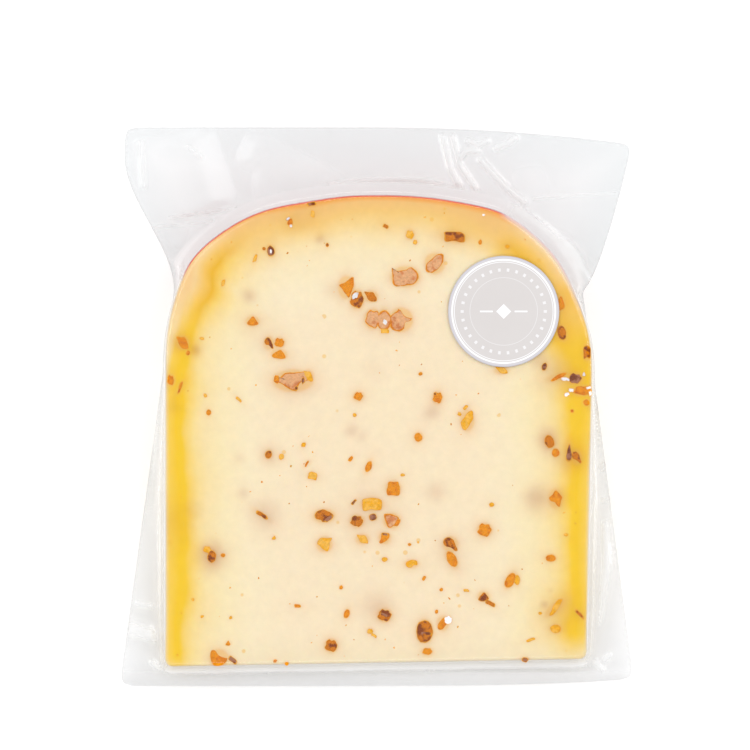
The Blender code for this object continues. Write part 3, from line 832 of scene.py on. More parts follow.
def paste_material():
    material, tree, place, cloud, grain = new_material("paste_pale_yellow", 55.0, 9.0)
    shallow = mapped(tree, stored(tree, "depth"), 0.5, 5.0)
    wander = times(tree, times(tree, minus(tree, cloud, 0.5), 7.0), shallow)
    depth = plus(tree, stored(tree, "depth"), wander)
    rim = stored(tree, "rim")
    side, shoulder, top = (by_depth(tree, depth, s) for s in (FROM_SIDE, FROM_SHOULDER, FROM_TOP))
    colour = blended(tree, mapped(tree, rim, 0.05, 0.4), side, shoulder)
    colour = blended(tree, mapped(tree, rim, 0.72, 0.93), colour, top)
    colour = blended(tree, mapped(tree, depth, 16.0, 30.0), colour, PASTE_MIDDLE)
    foot = mapped(tree, stored(tree, "foot"), 8.0, 1.0)
    colour = blended(tree, times(tree, foot, 0.75), colour, FOOT_CREAM)
    inner = mapped(tree, depth, 5.0, 9.0)
    halo = blended(tree, inner, HALO_OCHRE, HALO_TAN)
    stain = blended(tree, inner, STAIN_OCHRE, STAIN_BROWN)
    for name, strength, layer in (("halo", 0.45, halo), ("glow", 0.55, GLOW_GOLD), ("stain", 0.8, stain)):
        colour = blended(tree, times(tree, stored(tree, name), strength), colour, layer)
    look = {"Place": place, "Cells_per_metre": 330.0, "Size": 0.24, "Share": 0.16}
    dots = add(tree, "ShaderNodeGroup", node_tree=specks, **look)
    colour = blended(tree, times(tree, dots.outputs["Speck"], 0.5), colour, SPECK_ORANGE)
    colour = brightened(tree, colour, mapped(tree, grain, 0.3, 0.7, 0.97, 1.02, smooth=False))
    look = {"Base_Color": colour, "Normal": bumped(tree, grain, 0.2, 0.0002), "Roughness": 0.42}
    look |= {"Specular_IOR_Level": 0.15, "Subsurface_Weight": 0.2, "Subsurface_Scale": 0.0015}
    look["Subsurface_Radius"] = (1.0, 0.6, 0.25)
    surfaced(tree, add(tree, "ShaderNodeBsdfPrincipled", **look))
    return material

# %% The wax coat's material
WAX_RED = (0.80, 0.045, 0.006)
WAX_DEEP_RED = (0.32, 0.045, 0.014)
WAX_YELLOW = (0.93, 0.78, 0.48)


def wax_material():
    material, tree, _, cloud, grain = new_material("wax_coat_red_amber", 70.0, 8.0)
    ragged = times(tree, minus(tree, cloud, 0.5), 0.6)
    rim = mapped(tree, plus(tree, stored(tree, "rim"), ragged), 0.25, 0.55)
    edge = mapped(tree, stored(tree, "drop"), 1.9, 0.9)
    colour = blended(tree, rim, WAX_YELLOW, WAX_DEEP_RED)
    colour = blended(tree, times(tree, rim, edge), colour, WAX_RED)
    look = {"Base_Color": colour, "Normal": bumped(tree, grain, 0.4, 0.0003)}
    look["Roughness"] = mapped(tree, cloud, 0.3, 0.7, 0.3, 0.5)
    surfaced(tree, add(tree, "ShaderNodeBsdfPrincipled", **look))
    return material

# %% Cut the cheese
ROUNDING_TURNS = np.radians([90.0, 72.0, 54.0, 38.0, 24.0, 12.0, 0.0])
WALL_STEPS = 14
BARE_RINGS = 3


def rounding_rings(inset):
    """Rings from the upper cut face's edge down to the foot of its rounding."""
    _, rounding = wall_sizes(edge_line)
    return [rounding_ring(edge_line, edge_out, rounding, turn, inset) for turn in ROUNDING_TURNS]


def face_line():
    """The cut face's flat part ends where its rounding starts."""
    _, rounding = wall_sizes(edge_line)
    return edge_line - edge_out * rounding[:, None]


def cut_cheese(paste, wax):
    upper = rounding_rings(PASTE_INSET)
    lower = [ring * (1.0, 1.0, -1.0) for ring in upper]
    face_height, rounding = wall_sizes(edge_line)
    shares = np.linspace(1.0, -1.0, WALL_STEPS + 2)[1:-1]
    heights = [(face_height - rounding) * share for share in shares]
    wall = [wall_ring(edge_line, edge_out, height, PASTE_INSET) for height in heights]
    rings = upper + wall + lower[::-1]
    count = len(edge_line)
    spots, triangles = filled(face_line(), 0.5)
    extra = spots[count:]
    faces = [on_cut_face(extra[:, 0], extra[:, 1], -PASTE_INSET, side) for side in (1.0, -1.0)]
    points = np.vstack(rings + faces)
    after = len(rings) * count
    below = after + len(extra)
    caps = renumbered(triangles, count, 0, after, False)
    caps += renumbered(triangles, count, after - count, below, True)
    slots = np.zeros((len(rings) - 1, count), int)
    slots[BARE_RINGS : -BARE_RINGS] = has_rind
    radius = np.hypot(points[:, 1], points[:, 2])
    values = paste_values(points[:, 0], radius)
    values["drop"] = radius * math.sin(HALF_ANGLE) - np.abs(points[:, 2])
    place = np.arange(len(points))
    values["room_above"] *= (place >= after) & (place < below)
    values["room_below"] *= place >= below
    for key in ("halo", "glow", "stain"):
        values[key] *= place < below
    slots = np.append(slots.ravel(), np.zeros(len(caps)))
    faces = bands(len(rings), count) + caps
    return mesh_object("cheese_paste", in_row_frame(points), faces, [paste, wax], values, slots)


cheese = cut_cheese(paste_material(), wax_material())

# %% [markdown]
# ## Seeds and nut bits
#
# The knife cuts through the seeds, so each shows as a small flat slice with a darker skin. One
# slice per shape is modelled here: a low disc with a shaped outline, storing how near each point
# is to the skin. Geometry Nodes then sets a copy at every point, sized and turned by values the
# points carry, and scatters small ones over the free part of the face by itself.

# %% Model one slice of each shape
SLICE_STEPS = 28
CROWN = 0.08
SLICE_REACH = (0.0, 0.4, 0.65, 0.8, 0.88, 0.94, 1.0)
SLICE_OUTLINES = {
    "almond": (
        -1, 0.1, -0.7, 0.75, -0.1, 1, 0.45, 0.7, 1, 0, 0.5, -0.75, -0.1, -1, -0.3, -0.65,
        -0.8, -0.5,
    ),
    "bar": (-1, 0.5, -0.3, 0.9, 0.6, 1, 1, 0.3, 0.9, -0.6, 0.1, -0.8, -0.8, -1),
    "bean": (
        -1, -0.3, -0.85, 0.5, -0.2, 0.95, 0.7, 1, 1, 0.3, 0.9, -0.35, 0.4, -0.45, -0.1, -0.9,
        -0.6, -1,
    ),
    "bow": (
        -1, 0.24, -0.5, 0.4, -0.15, 0.5, 0.25, 0.72, 0.95, 1, 1, 0.3, 0.85, -0.15, 0.35, -1,
        -0.1, -0.6, -0.6, -0.1,
    ),
    "comma": (
        -1, 0.3, -0.7, 0.9, -0.1, 1, 0.4, 0.6, 0.75, -0.1, 1, -0.9, 0.6, -1, 0.1, -0.5,
        -0.6, -0.3,
    ),
    "diamond": (
        0.05, 1, 0.6, 0.55, 1, 0.15, 0.8, -0.3, 0.6, -1, 0.2, -0.75, -0.1, -0.45, -0.7, -0.3,
        -1, 0.05, -0.5, 0.5,
    ),
    "drop": (
        -1, -0.2, -0.9, -0.8, -0.4, -1, 0.2, -0.7, 0.8, 0, 1, 0.7, 0.7, 1, 0.1, 0.8, -0.5, 0.3,
    ),
    "flag": (
        -0.4, 0.95, 0.3, 0.85, 1, 0.9, 0.7, 0.2, 0.6, -0.5, 0.4, -1, -0.1, -0.75, -0.6, -0.3,
        -1, 0.1, -0.8, 0.6,
    ),
    "kite": (-1, -0.5, -0.5, 0.4, 0.1, 1, 0.7, 0.2, 1, -0.55, 0.2, -1, -0.7, -0.9),
    "leaf": (-1, 0.95, -0.3, 0.85, 0.4, 0.8, 0.8, 0.1, 1, -0.9, 0.4, -1, -0.2, -0.75, -0.6, -0.1),
    "lump": (
        -1, 0.9, -0.97, 0, -0.95, -0.75, -0.6, -1, 0.1, -0.85, 0.6, -0.8, 0.9, -0.3, 1, 0.1,
        0.8, 0.6, 0.35, 1, 0.15, 0.75, -0.3, 0.65, -0.75, 0.6,
    ),
    "nugget": (
        -1, 0.4, -0.8, 0.2, -0.45, 0.75, 0.1, 0.8, 0.5, 0.85, 0.8, 0.9, 1, 0.3, 0.75, -0.05,
        0.45, -0.1, 0.3, -0.5, 0.2, -1, -0.15, -0.85, -0.5, -0.5, -0.8, -0.15, -1, -0.2,
    ),
    "oval": (1, 0, 0.75, 0.65, 0.1, 1, -0.6, 0.75, -1, 0.05, -0.75, -0.7, 0, -1, 0.7, -0.7),
    "rough": (
        1, 0.1, 0.75, 0.4, 0.6, 0.85, 0.05, 0.8, -0.3, 1, -0.75, 0.6, -0.8, 0.15, -1, -0.3,
        -0.55, -0.75, -0.1, -0.85, 0.3, -1, 0.7, -0.6,
    ),
    "round": (1, 0, 0.7, 0.72, 0, 1, -0.72, 0.68, -1, 0, -0.68, -0.74, 0, -1, 0.74, -0.66),
    "shard": (-0.55, 0.95, 0.3, 1, 0.95, 0.85, 1, 0.3, 0.6, -0.3, -0.2, -0.9, -1, -1, -0.8, -0.3),
    "shield": (-1, 0.9, -0.2, 1, 0.4, 0.8, 1, 0.4, 0.7, -0.25, 0.2, -0.9, -0.4, -1, -0.75, -0.3),
    "slab": (-0.95, 0.8, 0.1, 1, 0.85, 0.75, 1, 0.2, 0.9, -0.9, 0, -0.8, -0.9, -1, -1, 0),
    "square": (
        -1, -0.95, -0.9, 0.3, -0.72, 1, 0, 0.97, 0.7, 1, 0.85, 0.55, 1, 0.1, 0.92, -0.95, 0, -1,
    ),
    "star": (
        -0.95, 0.2, -0.7, 0.55, -0.35, 0.75, -0.15, 1, 0.15, 0.5, 0.5, 0.25, 1, 0.1, 0.6, -0.15,
        0.35, -0.2, 0.3, -0.7, -0.1, -1, -0.6, -0.95, -0.9, -0.6,
    ),
    "streak": (-1, -0.5, -0.5, 0.1, 0, 0.7, 0.7, 1, 1, 0.4, 0.5, -0.2, -0.1, -0.7, -0.7, -1),
    "wedge": (-1, 0.8, -0.5, 1, -0.05, 0.4, 0.55, 0.05, 1, -0.1, 0.7, -0.65, -0.2, -1, -0.8, -0.6),
}


def smooth_loop(corners, steps):
    """A closed curve through the corners, by the Catmull-Rom rule, evenly spaced."""
    corner = np.array(corners, float).reshape(-1, 2)
    before, after, far = (np.roll(corner, shift, axis=0) for shift in (1, -1, -2))
    t = np.linspace(0.0, 1.0, 12, endpoint=False)[:, None, None]
    line = 0.5 * (
        2.0 * corner
        + (after - before) * t
        + (2.0 * before - 5.0 * corner + 4.0 * after - far) * t**2
        + (3.0 * corner - before - 3.0 * after + far) * t**3
    )
    line = line.transpose(1, 0, 2).reshape(-1, 2)
    length = np.hypot(*(np.roll(line, -1, axis=0) - line).T).sum()
    loop = spaced(line, length / steps)
    twice_area = (loop[:, 0] * np.roll(loop[:, 1], -1) - loop[:, 1] * np.roll(loop[:, 0], -1)).sum()
    return loop if twice_area > 0.0 else loop[::-1]


def seed_slice(name, corners):
    """A unit slice: half width 1, its top at 0 with a slight crown, its wall going down."""
    edge = smooth_loop(corners, SLICE_STEPS)
    edge = edge / np.abs(edge).max(axis=0)
    count = len(edge)
    rings, skin = [np.array([[0.0, 0.0, CROWN]])], [np.zeros(1)]
    for share in SLICE_REACH[1:]:
        rings.append(np.column_stack([edge * share, np.full(count, CROWN * (1.0 - share**4))]))
        skin.append(np.full(count, share))
    rings.append(rings[-1] * (0.96, 0.96, 0.0) + (0.0, 0.0, -1.0))
    skin.append(np.ones(count))
    points = np.vstack(rings)
    faces = disc_faces(len(rings) - 1, count)
    piece = mesh_object(name, points, faces, [], {"skin": np.concatenate(skin)})
    bpy.context.scene.collection.objects.unlink(piece)
    return piece


slices = bpy.data.collections.new("seed_slices")
SHAPE_ORDER = sorted(SLICE_OUTLINES)
for shape in SHAPE_ORDER:
    slices.objects.link(seed_slice("slice_" + shape, SLICE_OUTLINES[shape]))

# %% Geometry Nodes: helpers
SEED_DEPTH = 0.8
SPECK_DEPTH = 0.4
SKIN_SWELL = 0.25
LEAST_SPACING = 0.0015
RUGGED_PER_METRE = 800.0
KIND = {k: "NodeSocket" + k for k in ("Object", "Collection", "Material", "Float", "Int")}


def named(tree, name, kind):
    return add(tree, "GeometryNodeInputNamedAttribute", data_type=kind, Name=name).outputs[0]


def random_value(tree, low, high, seed, kind="FLOAT"):
    node = add(tree, "FunctionNodeRandomValue", data_type=kind, Seed=seed)
    first, second, result = {"FLOAT": (2, 3, 1), "INT": (4, 5, 2)}[kind]
    plug(tree, low, node.inputs[first])
    plug(tree, high, node.inputs[second])
    return node.outputs[result]


def instances(tree, slices, points, index, turn, size):
    """A slice set on every point."""
    children = {"Separate_Children": True, "Reset_Children": True}
    source = add(tree, "GeometryNodeCollectionInfo", Collection=slices, **children).outputs[0]
    pose = {"Instance_Index": index, "Rotation": turn, "Scale": size}
    look = {"Points": points, "Instance": source, "Pick_Instance": True}
    return add(tree, "GeometryNodeInstanceOnPoints", **look, **pose).outputs[0]


def with_value(tree, geometry, name, value):
    """Instances with one more number stored on each."""
    look = {"Geometry": geometry, "Name": name, "Value": value}
    place = {"data_type": "FLOAT", "domain": "INSTANCE"}
    return add(tree, "GeometryNodeStoreNamedAttribute", **place, **look).outputs[0]


# %% Geometry Nodes: scatter small slices


def scatter_tree(side_name):
    """Scatters small slices over the faces where the attribute room_SIDE is 1."""
    tree, given, out = new_group(
        "scatter_small_" + side_name,
        "GeometryNodeTree",
        {
            "Geometry": (GEOMETRY, None),
            "Cut cheese": (KIND["Object"], None),
            "Slices": (KIND["Collection"], None),
            "Pieces per square metre": (KIND["Float"], 8000.0),
            "Smallest": (KIND["Float"], 0.00012),
            "Largest": (KIND["Float"], 0.0006),
            "Seed": (KIND["Int"], 1),
        },
        {"Geometry": GEOMETRY},
    )
    tree.is_modifier = True
    face = add(tree, "GeometryNodeObjectInfo", Object=given["Cut cheese"])
    spread = add(
        tree,
        "GeometryNodeDistributePointsOnFaces",
        distribute_method="POISSON",
        Mesh=face.outputs["Geometry"],
        Distance_Min=LEAST_SPACING,
        Density_Max=given["Pieces per square metre"],
        Density_Factor=named(tree, "room_" + side_name, "FLOAT"),
        Seed=given["Seed"],
    )
    angle = random_value(tree, 0.0, 2.0 * math.pi, 7)
    spin = add(tree, "FunctionNodeAxisAngleToRotation", Angle=angle).outputs[0]
    look = {"Rotation": spread.outputs["Rotation"], "Rotate_By": spin}
    turned = add(tree, "FunctionNodeRotateRotation", rotation_space="LOCAL", **look).outputs[0]
    width = random_value(tree, given["Smallest"], given["Largest"], 11)
    length = times(tree, width, random_value(tree, 0.55, 1.0, 13))
    size = add(tree, "ShaderNodeCombineXYZ", X=width, Y=length, Z=SPECK_DEPTH * MM).outputs[0]
    index = random_value(tree, 0, len(SHAPE_ORDER) - 1, 17, "INT")
    small = instances(tree, given["Slices"], spread.outputs["Points"], index, turned, size)
    plug(tree, small, out["Geometry"])
    return tree


# %% Geometry Nodes: set the large slices and finish all


def setting_tree():
    """Points with seat_size, seat_turn and seat_shape become seed slices, small ones are added."""
    tree, given, out = new_group(
        "set_seed_slices",
        "GeometryNodeTree",
        {
            "Geometry": (GEOMETRY, None),
            "Cut cheese": (KIND["Object"], None),
            "Slices": (KIND["Collection"], None),
            "Finish": (KIND["Material"], None),
            "Small above": (KIND["Float"], 8000.0),
            "Largest above": (KIND["Float"], 0.0003),
            "Small below": (KIND["Float"], 8000.0),
            "Largest below": (KIND["Float"], 0.0014),
            "Ruggedness": (KIND["Float"], 0.0005),
            "Seed": (KIND["Int"], 3),
        },
        {"Geometry": GEOMETRY},
    )
    tree.is_modifier = True
    turn, size = (named(tree, key, "FLOAT_VECTOR") for key in ("seat_turn", "seat_size"))
    shape = named(tree, "seat_shape", "INT")
    joined = add(tree, "GeometryNodeJoinGeometry")
    large = instances(tree, given["Slices"], given["Geometry"], shape, turn, size)
    plug(tree, large, joined.inputs[0])
    for side_name, group in SCATTERS.items():
        look = {key: given[key.replace("_", " ")] for key in ("Cut_cheese", "Slices", "Seed")}
        look["Pieces_per_square_metre"] = given["Small " + side_name]
        look["Largest"] = given["Largest " + side_name]
        small = add(tree, "GeometryNodeGroup", node_tree=group, **look)
        plug(tree, small.outputs[0], joined.inputs[0])
    tone = random_value(tree, 0.0, 1.0, given["Seed"])
    toned = with_value(tree, joined.outputs[0], "tone", tone)
    scale = add(tree, "GeometryNodeInputInstanceScale").outputs[0]
    scale = add(tree, "ShaderNodeSeparateXYZ", Vector=scale).outputs
    half_width = math_node(tree, "MINIMUM", scale[0], scale[1])
    sized = with_value(tree, toned, "half_width", half_width)
    real = add(tree, "GeometryNodeRealizeInstances", Geometry=sized).outputs[0]
    noise = add(tree, "ShaderNodeTexNoise", Scale=RUGGED_PER_METRE).outputs["Color"]
    push = worked(tree, "ShaderNodeVectorMath", "SUBTRACT", noise, (0.5, 0.5, 0.5))
    push = worked(tree, "ShaderNodeVectorMath", "MULTIPLY", push, (1.0, 1.0, 0.1))
    push = brightened(tree, push, given["Ruggedness"])
    rugged = add(tree, "GeometryNodeSetPosition", Geometry=real, Offset=push).outputs[0]
    look = {"Geometry": rugged, "Material": given["Finish"]}
    plug(tree, add(tree, "GeometryNodeSetMaterial", **look).outputs[0], out["Geometry"])
    return tree


SCATTERS = {name: scatter_tree(name) for name in ("above", "below")}

# %% Run a node tree and keep its mesh


def socket_id(tree, name):
    for item in tree.interface.items_tree:
        if item.item_type == "SOCKET" and item.in_out == "INPUT" and item.name == name:
            return item.identifier
    raise KeyError(name)


def baked_by_nodes(name, holder, tree, settings):
    """Runs a node tree on holder and keeps the result as a plain mesh piece."""
    modifier = holder.modifiers.new(tree.name, "NODES")
    modifier.node_group = tree
    for key, value in settings.items():
        modifier[socket_id(tree, key)] = value
    graph = bpy.context.evaluated_depsgraph_get()
    mesh = bpy.data.meshes.new_from_object(holder.evaluated_get(graph))
    mesh.name = name
    bpy.data.objects.remove(holder, do_unlink=True)
    return shown(name, mesh)

# %% Finishes of the seeds


def seed_material(name, skin, core, other, skin_mm, share=0.5, roughness=0.35):
    """A skin of skin_mm round a core that is partly of another colour."""
    material, tree, _, cloud, grain = new_material(name, 650.0, 3.0)
    tone = stored(tree, "tone")
    inward = minus(tree, 1.0, stored(tree, "skin"))
    from_edge = times(tree, inward, times(tree, stored(tree, "half_width"), 1.0 / MM))
    wander = times(tree, minus(tree, cloud, 0.5), 0.8)
    at_skin = mapped(tree, plus(tree, from_edge, wander), skin_mm + 0.2, skin_mm - 0.05)
    mix = plus(tree, cloud, times(tree, tone, 0.2))
    mix = mapped(tree, mix, 1.1 - share - 0.08, 1.1 - share + 0.08)
    colour = blended(tree, at_skin, blended(tree, mix, core, other), skin)
    colour = blended(tree, mapped(tree, from_edge, 0.2, 0.03, 0.0, 0.8), colour, FRINGE_GOLD)
    speckle = mapped(tree, grain, 0.3, 0.7, 0.82, 1.12, smooth=False)
    light = times(tree, speckle, mapped(tree, tone, 0.0, 1.0, 0.84, 1.14, smooth=False))
    look = {"Base_Color": brightened(tree, colour, light), "Roughness": roughness}
    look |= {"Normal": bumped(tree, grain, 0.6, 0.0002), "Specular_IOR_Level": 0.12}
    surfaced(tree, add(tree, "ShaderNodeBsdfPrincipled", **look))
    return material


ORANGE = ((0.62, 0.15, 0.0), (0.70, 0.195, 0.0), (0.80, 0.28, 0.002), 0.14)
GOLDEN = ((0.84, 0.36, 0.003), (0.90, 0.43, 0.008), (0.94, 0.51, 0.07), 0.08)
BROWN = ((0.50, 0.14, 0.0), (0.64, 0.19, 0.0), (0.24, 0.05, 0.004), 0.1, 0.45)
HUSK = ((0.26, 0.06, 0.004), (0.19, 0.045, 0.012), (0.38, 0.16, 0.085), 0.1, 0.45)
NUT = ((0.62, 0.18, 0.005), (0.60, 0.21, 0.07), (0.72, 0.38, 0.18), 0.26)
# The glint finish is a painted highlight: near white, where the film glints over the seeds.
GLINT = ((0.86, 0.80, 0.82), (0.95, 0.94, 0.96), (0.95, 0.93, 0.93), 0.05, 0.5, 0.15)

# %% Set the listed bits
SEED_KINDS = (
    ("nut_slices", NUT_SLICES, "nut_pale", NUT, -0.07, 0.0, 1200.0),
    ("orange_seeds", ORANGE_SEEDS, "seed_orange", ORANGE, -0.06, 4000.0, 5200.0),
    ("golden_seeds", GOLDEN_SEEDS, "seed_golden", GOLDEN, -0.055, 9000.0, 3500.0),
    ("brown_seeds", BROWN_SEEDS, "seed_brown", BROWN, -0.045, 500.0, 2600.0),
    ("dark_husks", DARK_HUSKS, "husk_dark_purple", HUSK, -0.03, 0.0, 900.0),
    ("white_glints", WHITE_GLINTS, "white_painted_glints", GLINT, -0.02, 0.0, 0.0),
)
FIRST_SEED = 3


def point_cloud(name, bits, top):
    """A mesh of bare points with the values that the setting tree reads."""
    table = np.array([bit[:5] for bit in bits], float)
    spots = on_cut_face(table[:, 0], table[:, 1], top - CROWN * SEED_DEPTH)
    mesh = bpy.data.meshes.new(name)
    mesh.from_pydata(in_row_frame(spots).tolist(), [], [])
    half = (table[:, 2:4] + SKIN_SWELL) / 2.0
    size = np.column_stack([half, np.full(len(bits), SEED_DEPTH)]) * MM
    lean = Matrix.Rotation(2.0 * HALF_ANGLE, 3, "X")
    turns = [(lean @ Matrix.Rotation(math.radians(turn), 3, "Z")).to_euler() for turn in table[:, 4]]
    for key, numbers in (("seat_size", size), ("seat_turn", np.array(turns))):
        layer = mesh.attributes.new(key, "FLOAT_VECTOR", "POINT")
        layer.data.foreach_set("vector", np.asarray(numbers, np.float32).ravel())
    shapes = np.array([SHAPE_ORDER.index(bit[5]) for bit in bits], np.int32)
    mesh.attributes.new("seat_shape", "INT", "POINT").data.foreach_set("value", shapes)
    thing = bpy.data.objects.new(name, mesh)
    bpy.context.scene.collection.objects.link(thing)
    return thing


seed_setting = setting_tree()
bit_pieces = []
for number, (kind, bits, finish, look, top, above, below) in enumerate(SEED_KINDS):
    settings = {"Cut cheese": cheese, "Slices": slices, "Finish": seed_material(finish, *look)}
    settings |= {"Small above": above, "Small below": below, "Seed": FIRST_SEED + number}
    holder = point_cloud(kind + "_points", bits, top)
    bit_pieces.append(baked_by_nodes(kind, holder, seed_setting, settings))

# %% [markdown]
# ## The film
#
# Each half of the pouch is one sheet. Its material is what matters: clear film shows almost
# only as gloss, and as a faint grey where two layers lie on each other. A Transparent shader
# mixed with a glossy one gives that at a fraction of the cost of real refraction, and it lets
# light through to the cheese. The gloss grows with the slant of the view by Schlick's rule,
# which is the same from both sides of the sheet. The Fresnel node isn't: from inside it turns
# slanting light back, as in thick glass, and would leave the cheese in the dark. A little
# white haze stands for scuffs and the seal. Most of the white haze is painted light: painted
# highlights along the side edges and the folds, a painted glare veil at one shoulder and
# painted light over the shade at the foot. The flange's grey tint is painted shade.

# %% Film material
FILM_CLEAR = (0.948, 0.947, 0.949)
FILM_SHADE_GREY = (0.890, 0.899, 0.904)
HAZE_GREY = (0.62, 0.61, 0.605)
HAZE_WHITE = (0.92, 0.92, 0.92)
LEAST_GLOSS = 0.036
GLOSS_RISE = 0.955
SCHLICK_POWER = 5.0
RIB_PITCH = 0.0008


def film_material():
    material, tree, place, cloud, _ = new_material("film_clear", 120.0, 5.0)
    along = add(tree, "ShaderNodeSeparateXYZ", Vector=place).outputs[1]
    wave = math_node(tree, "SINE", times(tree, along, 2.0 * math.pi / RIB_PITCH))
    look = {"Height": times(tree, wave, stored(tree, "weld")), "Strength": 1.0, "Distance": 0.00006}
    look["Normal"] = bumped(tree, cloud, 0.25, 0.0004)
    ribs = add(tree, "ShaderNodeBump", **look).outputs[0]
    # The grey tint is painted shade on the flange.
    tint = blended(tree, stored(tree, "grey"), FILM_CLEAR, FILM_SHADE_GREY)
    clear = add(tree, "ShaderNodeBsdfTransparent", Color=tint)
    rough = mapped(tree, stored(tree, "soft"), 0.0, 1.0, 0.13, 0.34)
    look = {"Roughness": rough, "Normal": ribs, "Color": (1.0, 1.0, 1.0, 1.0)}
    gloss = add(tree, "ShaderNodeBsdfGlossy", **look)
    facing = add(tree, "ShaderNodeLayerWeight", Blend=0.5, Normal=ribs).outputs["Facing"]
    steep = math_node(tree, "POWER", facing, SCHLICK_POWER)
    share = plus(tree, times(tree, steep, GLOSS_RISE), LEAST_GLOSS)
    milk = blended(tree, stored(tree, "milk"), HAZE_GREY, HAZE_WHITE)
    # White haze: a little stands for scuffs and the seal, most is painted highlights, painted glare and
    # painted light.
    haze_and_painted_light = add(tree, "ShaderNodeBsdfDiffuse", Color=milk)
    film = clear
    for part, other in ((share, gloss), (stored(tree, "haze_and_painted_light"), haze_and_painted_light)):
        both = add(tree, "ShaderNodeMixShader", Fac=part)
        plug(tree, film.outputs[0], both.inputs[1])
        plug(tree, other.outputs[0], both.inputs[2])
        film = both
    surfaced(tree, film)
    return material

# %% Draw the film over the cheese
HOLLOW_TURNS = np.radians([0.0, 15.0, 30.0, 45.0, 60.0, 75.0, 90.0])
FILM_WALL_STEPS = 8
SIDE_FOLLOW = 2.4
THIN_EDGE = 0.05
# Painted light as white haze on the rings: highlight lines along the side edges and in the hollow, a
# glare veil at the right shoulder, and light over the shade at the foot.
PAINTED_EDGE_HIGHLIGHTS = (0.0, 0.0, 0.08, 0.4, 0.8, 0.8, 0.5)
PAINTED_HOLLOW_HIGHLIGHTS = (0.35, 0.12, 0.04, 0.1, 0.6, 0.08, 0.04)
PAINTED_GLARE_VEIL = (0.0, 0.2, 0.35, 0.5, 0.5, 0.5, 0.5)
PAINTED_FOOT_LIGHT = (0.0, 0.0, 0.0, 0.05, 0.15, 0.3, 0.45)


def hollow_ring(line, normal, radius, turn):
    """A ring on the hollow curve from the wall out to the flange."""
    height = SHEET_GAP / 2.0 + radius * (1.0 - math.sin(turn))
    flat = line + normal * (radius * (1.0 - math.cos(turn)))[:, None]
    along = flat[:, 1] + np.sqrt(np.maximum(line[:, 1] ** 2 - height**2, 0.0)) - line[:, 1]
    return np.column_stack([flat[:, 0], along, height])


def film_bumps(spots):
    """The film rises a little over each bit."""
    rise = np.zeros(len(spots))
    for u, v, width, height, _, _ in ALL_BITS:
        away = (spots - (u, v)) / (0.62 * width + 0.3, 0.62 * height + 0.3)
        share = 0.4 + 0.6 * min(1.0, width * height / 6.0)
        rise = np.maximum(rise, 0.12 * (1.0 - eased(np.hypot(*away.T))) * share)
    return rise


def ring_painted_light(normal):
    """Painted light on each ring, as white haze: highlight lines along its side edges, a glare veil at
    one shoulder, and light over the shade at the foot.
    """
    place = np.arange(len(normal))
    patchy = 0.75 + 0.25 * np.sin(place / 9.0) * np.sin(place / 23.0)
    side = eased((np.abs(normal[:, 0]) - 0.8) / 0.15) * patchy
    glare_veil = eased((normal[:, 0] - 0.35) / 0.15) * eased((normal[:, 1] - 0.25) / 0.2)
    foot = eased((-normal[:, 1] - 0.6) / 0.3)
    shares = list(zip(PAINTED_EDGE_HIGHLIGHTS, PAINTED_GLARE_VEIL, PAINTED_FOOT_LIGHT))
    # The wall rings carry the same painted highlights, painted glare and painted light at the foot.
    shares += [(0.35, 0.4, 0.6)] * FILM_WALL_STEPS
    shares += [(share, 0.3, 0.5) for share in PAINTED_HOLLOW_HIGHLIGHTS]
    return np.concatenate([np.maximum.reduce([a * side, b * glare_veil, c * foot]) for a, b, c in shares])


def flange_haze_and_highlights(spots, from_cheese, from_edge):
    """Under the foot the flange is hazed grey, the painted glare veil runs a little way out, and the
    folds carry painted white highlights.
    """
    edge_line_and_crease_highlights = 0.14 * (from_edge < THIN_EDGE)
    # Painted highlights: the folds and creases are drawn as white lines.
    for folds, strength in ((SOFT_FOLDS, 0.4), (FINE_CREASES, 0.3)):
        even = [(width, 1.0, *corners) for width, _, *corners in folds]
        edge_line_and_crease_highlights = np.maximum(edge_line_and_crease_highlights, strength * fold_height(spots, even))
    foot = 0.15 * eased((19.6 - spots[:, 1]) / 1.2)
    # Painted glare: the shoulder veil runs a little way onto the flange.
    shoulder = eased((spots[:, 0] - 30.0) / 6.0) * eased((122.0 - spots[:, 1]) / 6.0)
    shoulder *= eased((spots[:, 1] - 98.0) / 5.0) * (1.0 - eased((from_cheese - 1.0) / 3.0))
    return np.maximum.reduce([foot, 0.3 * shoulder, edge_line_and_crease_highlights, np.full(len(spots), 0.03)])


def flange_net(inner, edge, gap):
    """Points and triangles between two closed lines, the first ones being those of inner."""
    outer = spaced(edge, gap)
    spots = triangle_grid(outer, gap)
    spots = spots[inside_line(spots, outer) & ~inside_line(spots, inner)]
    for line in (outer, inner):
        spots = spots[nearest_on(line, spots)[0] > gap * 0.6]
    points = np.vstack([inner, outer, spots])
    inner_loop = [(k, (k + 1) % len(inner)) for k in range(len(inner))]
    outer_loop = [list(range(len(inner), len(inner) + len(outer)))]
    made, triangles = triangulated(points, inner_loop, outer_loop)
    outside = ~inside_line(made[triangles].mean(axis=1), inner)
    return made, triangles[outside], outer


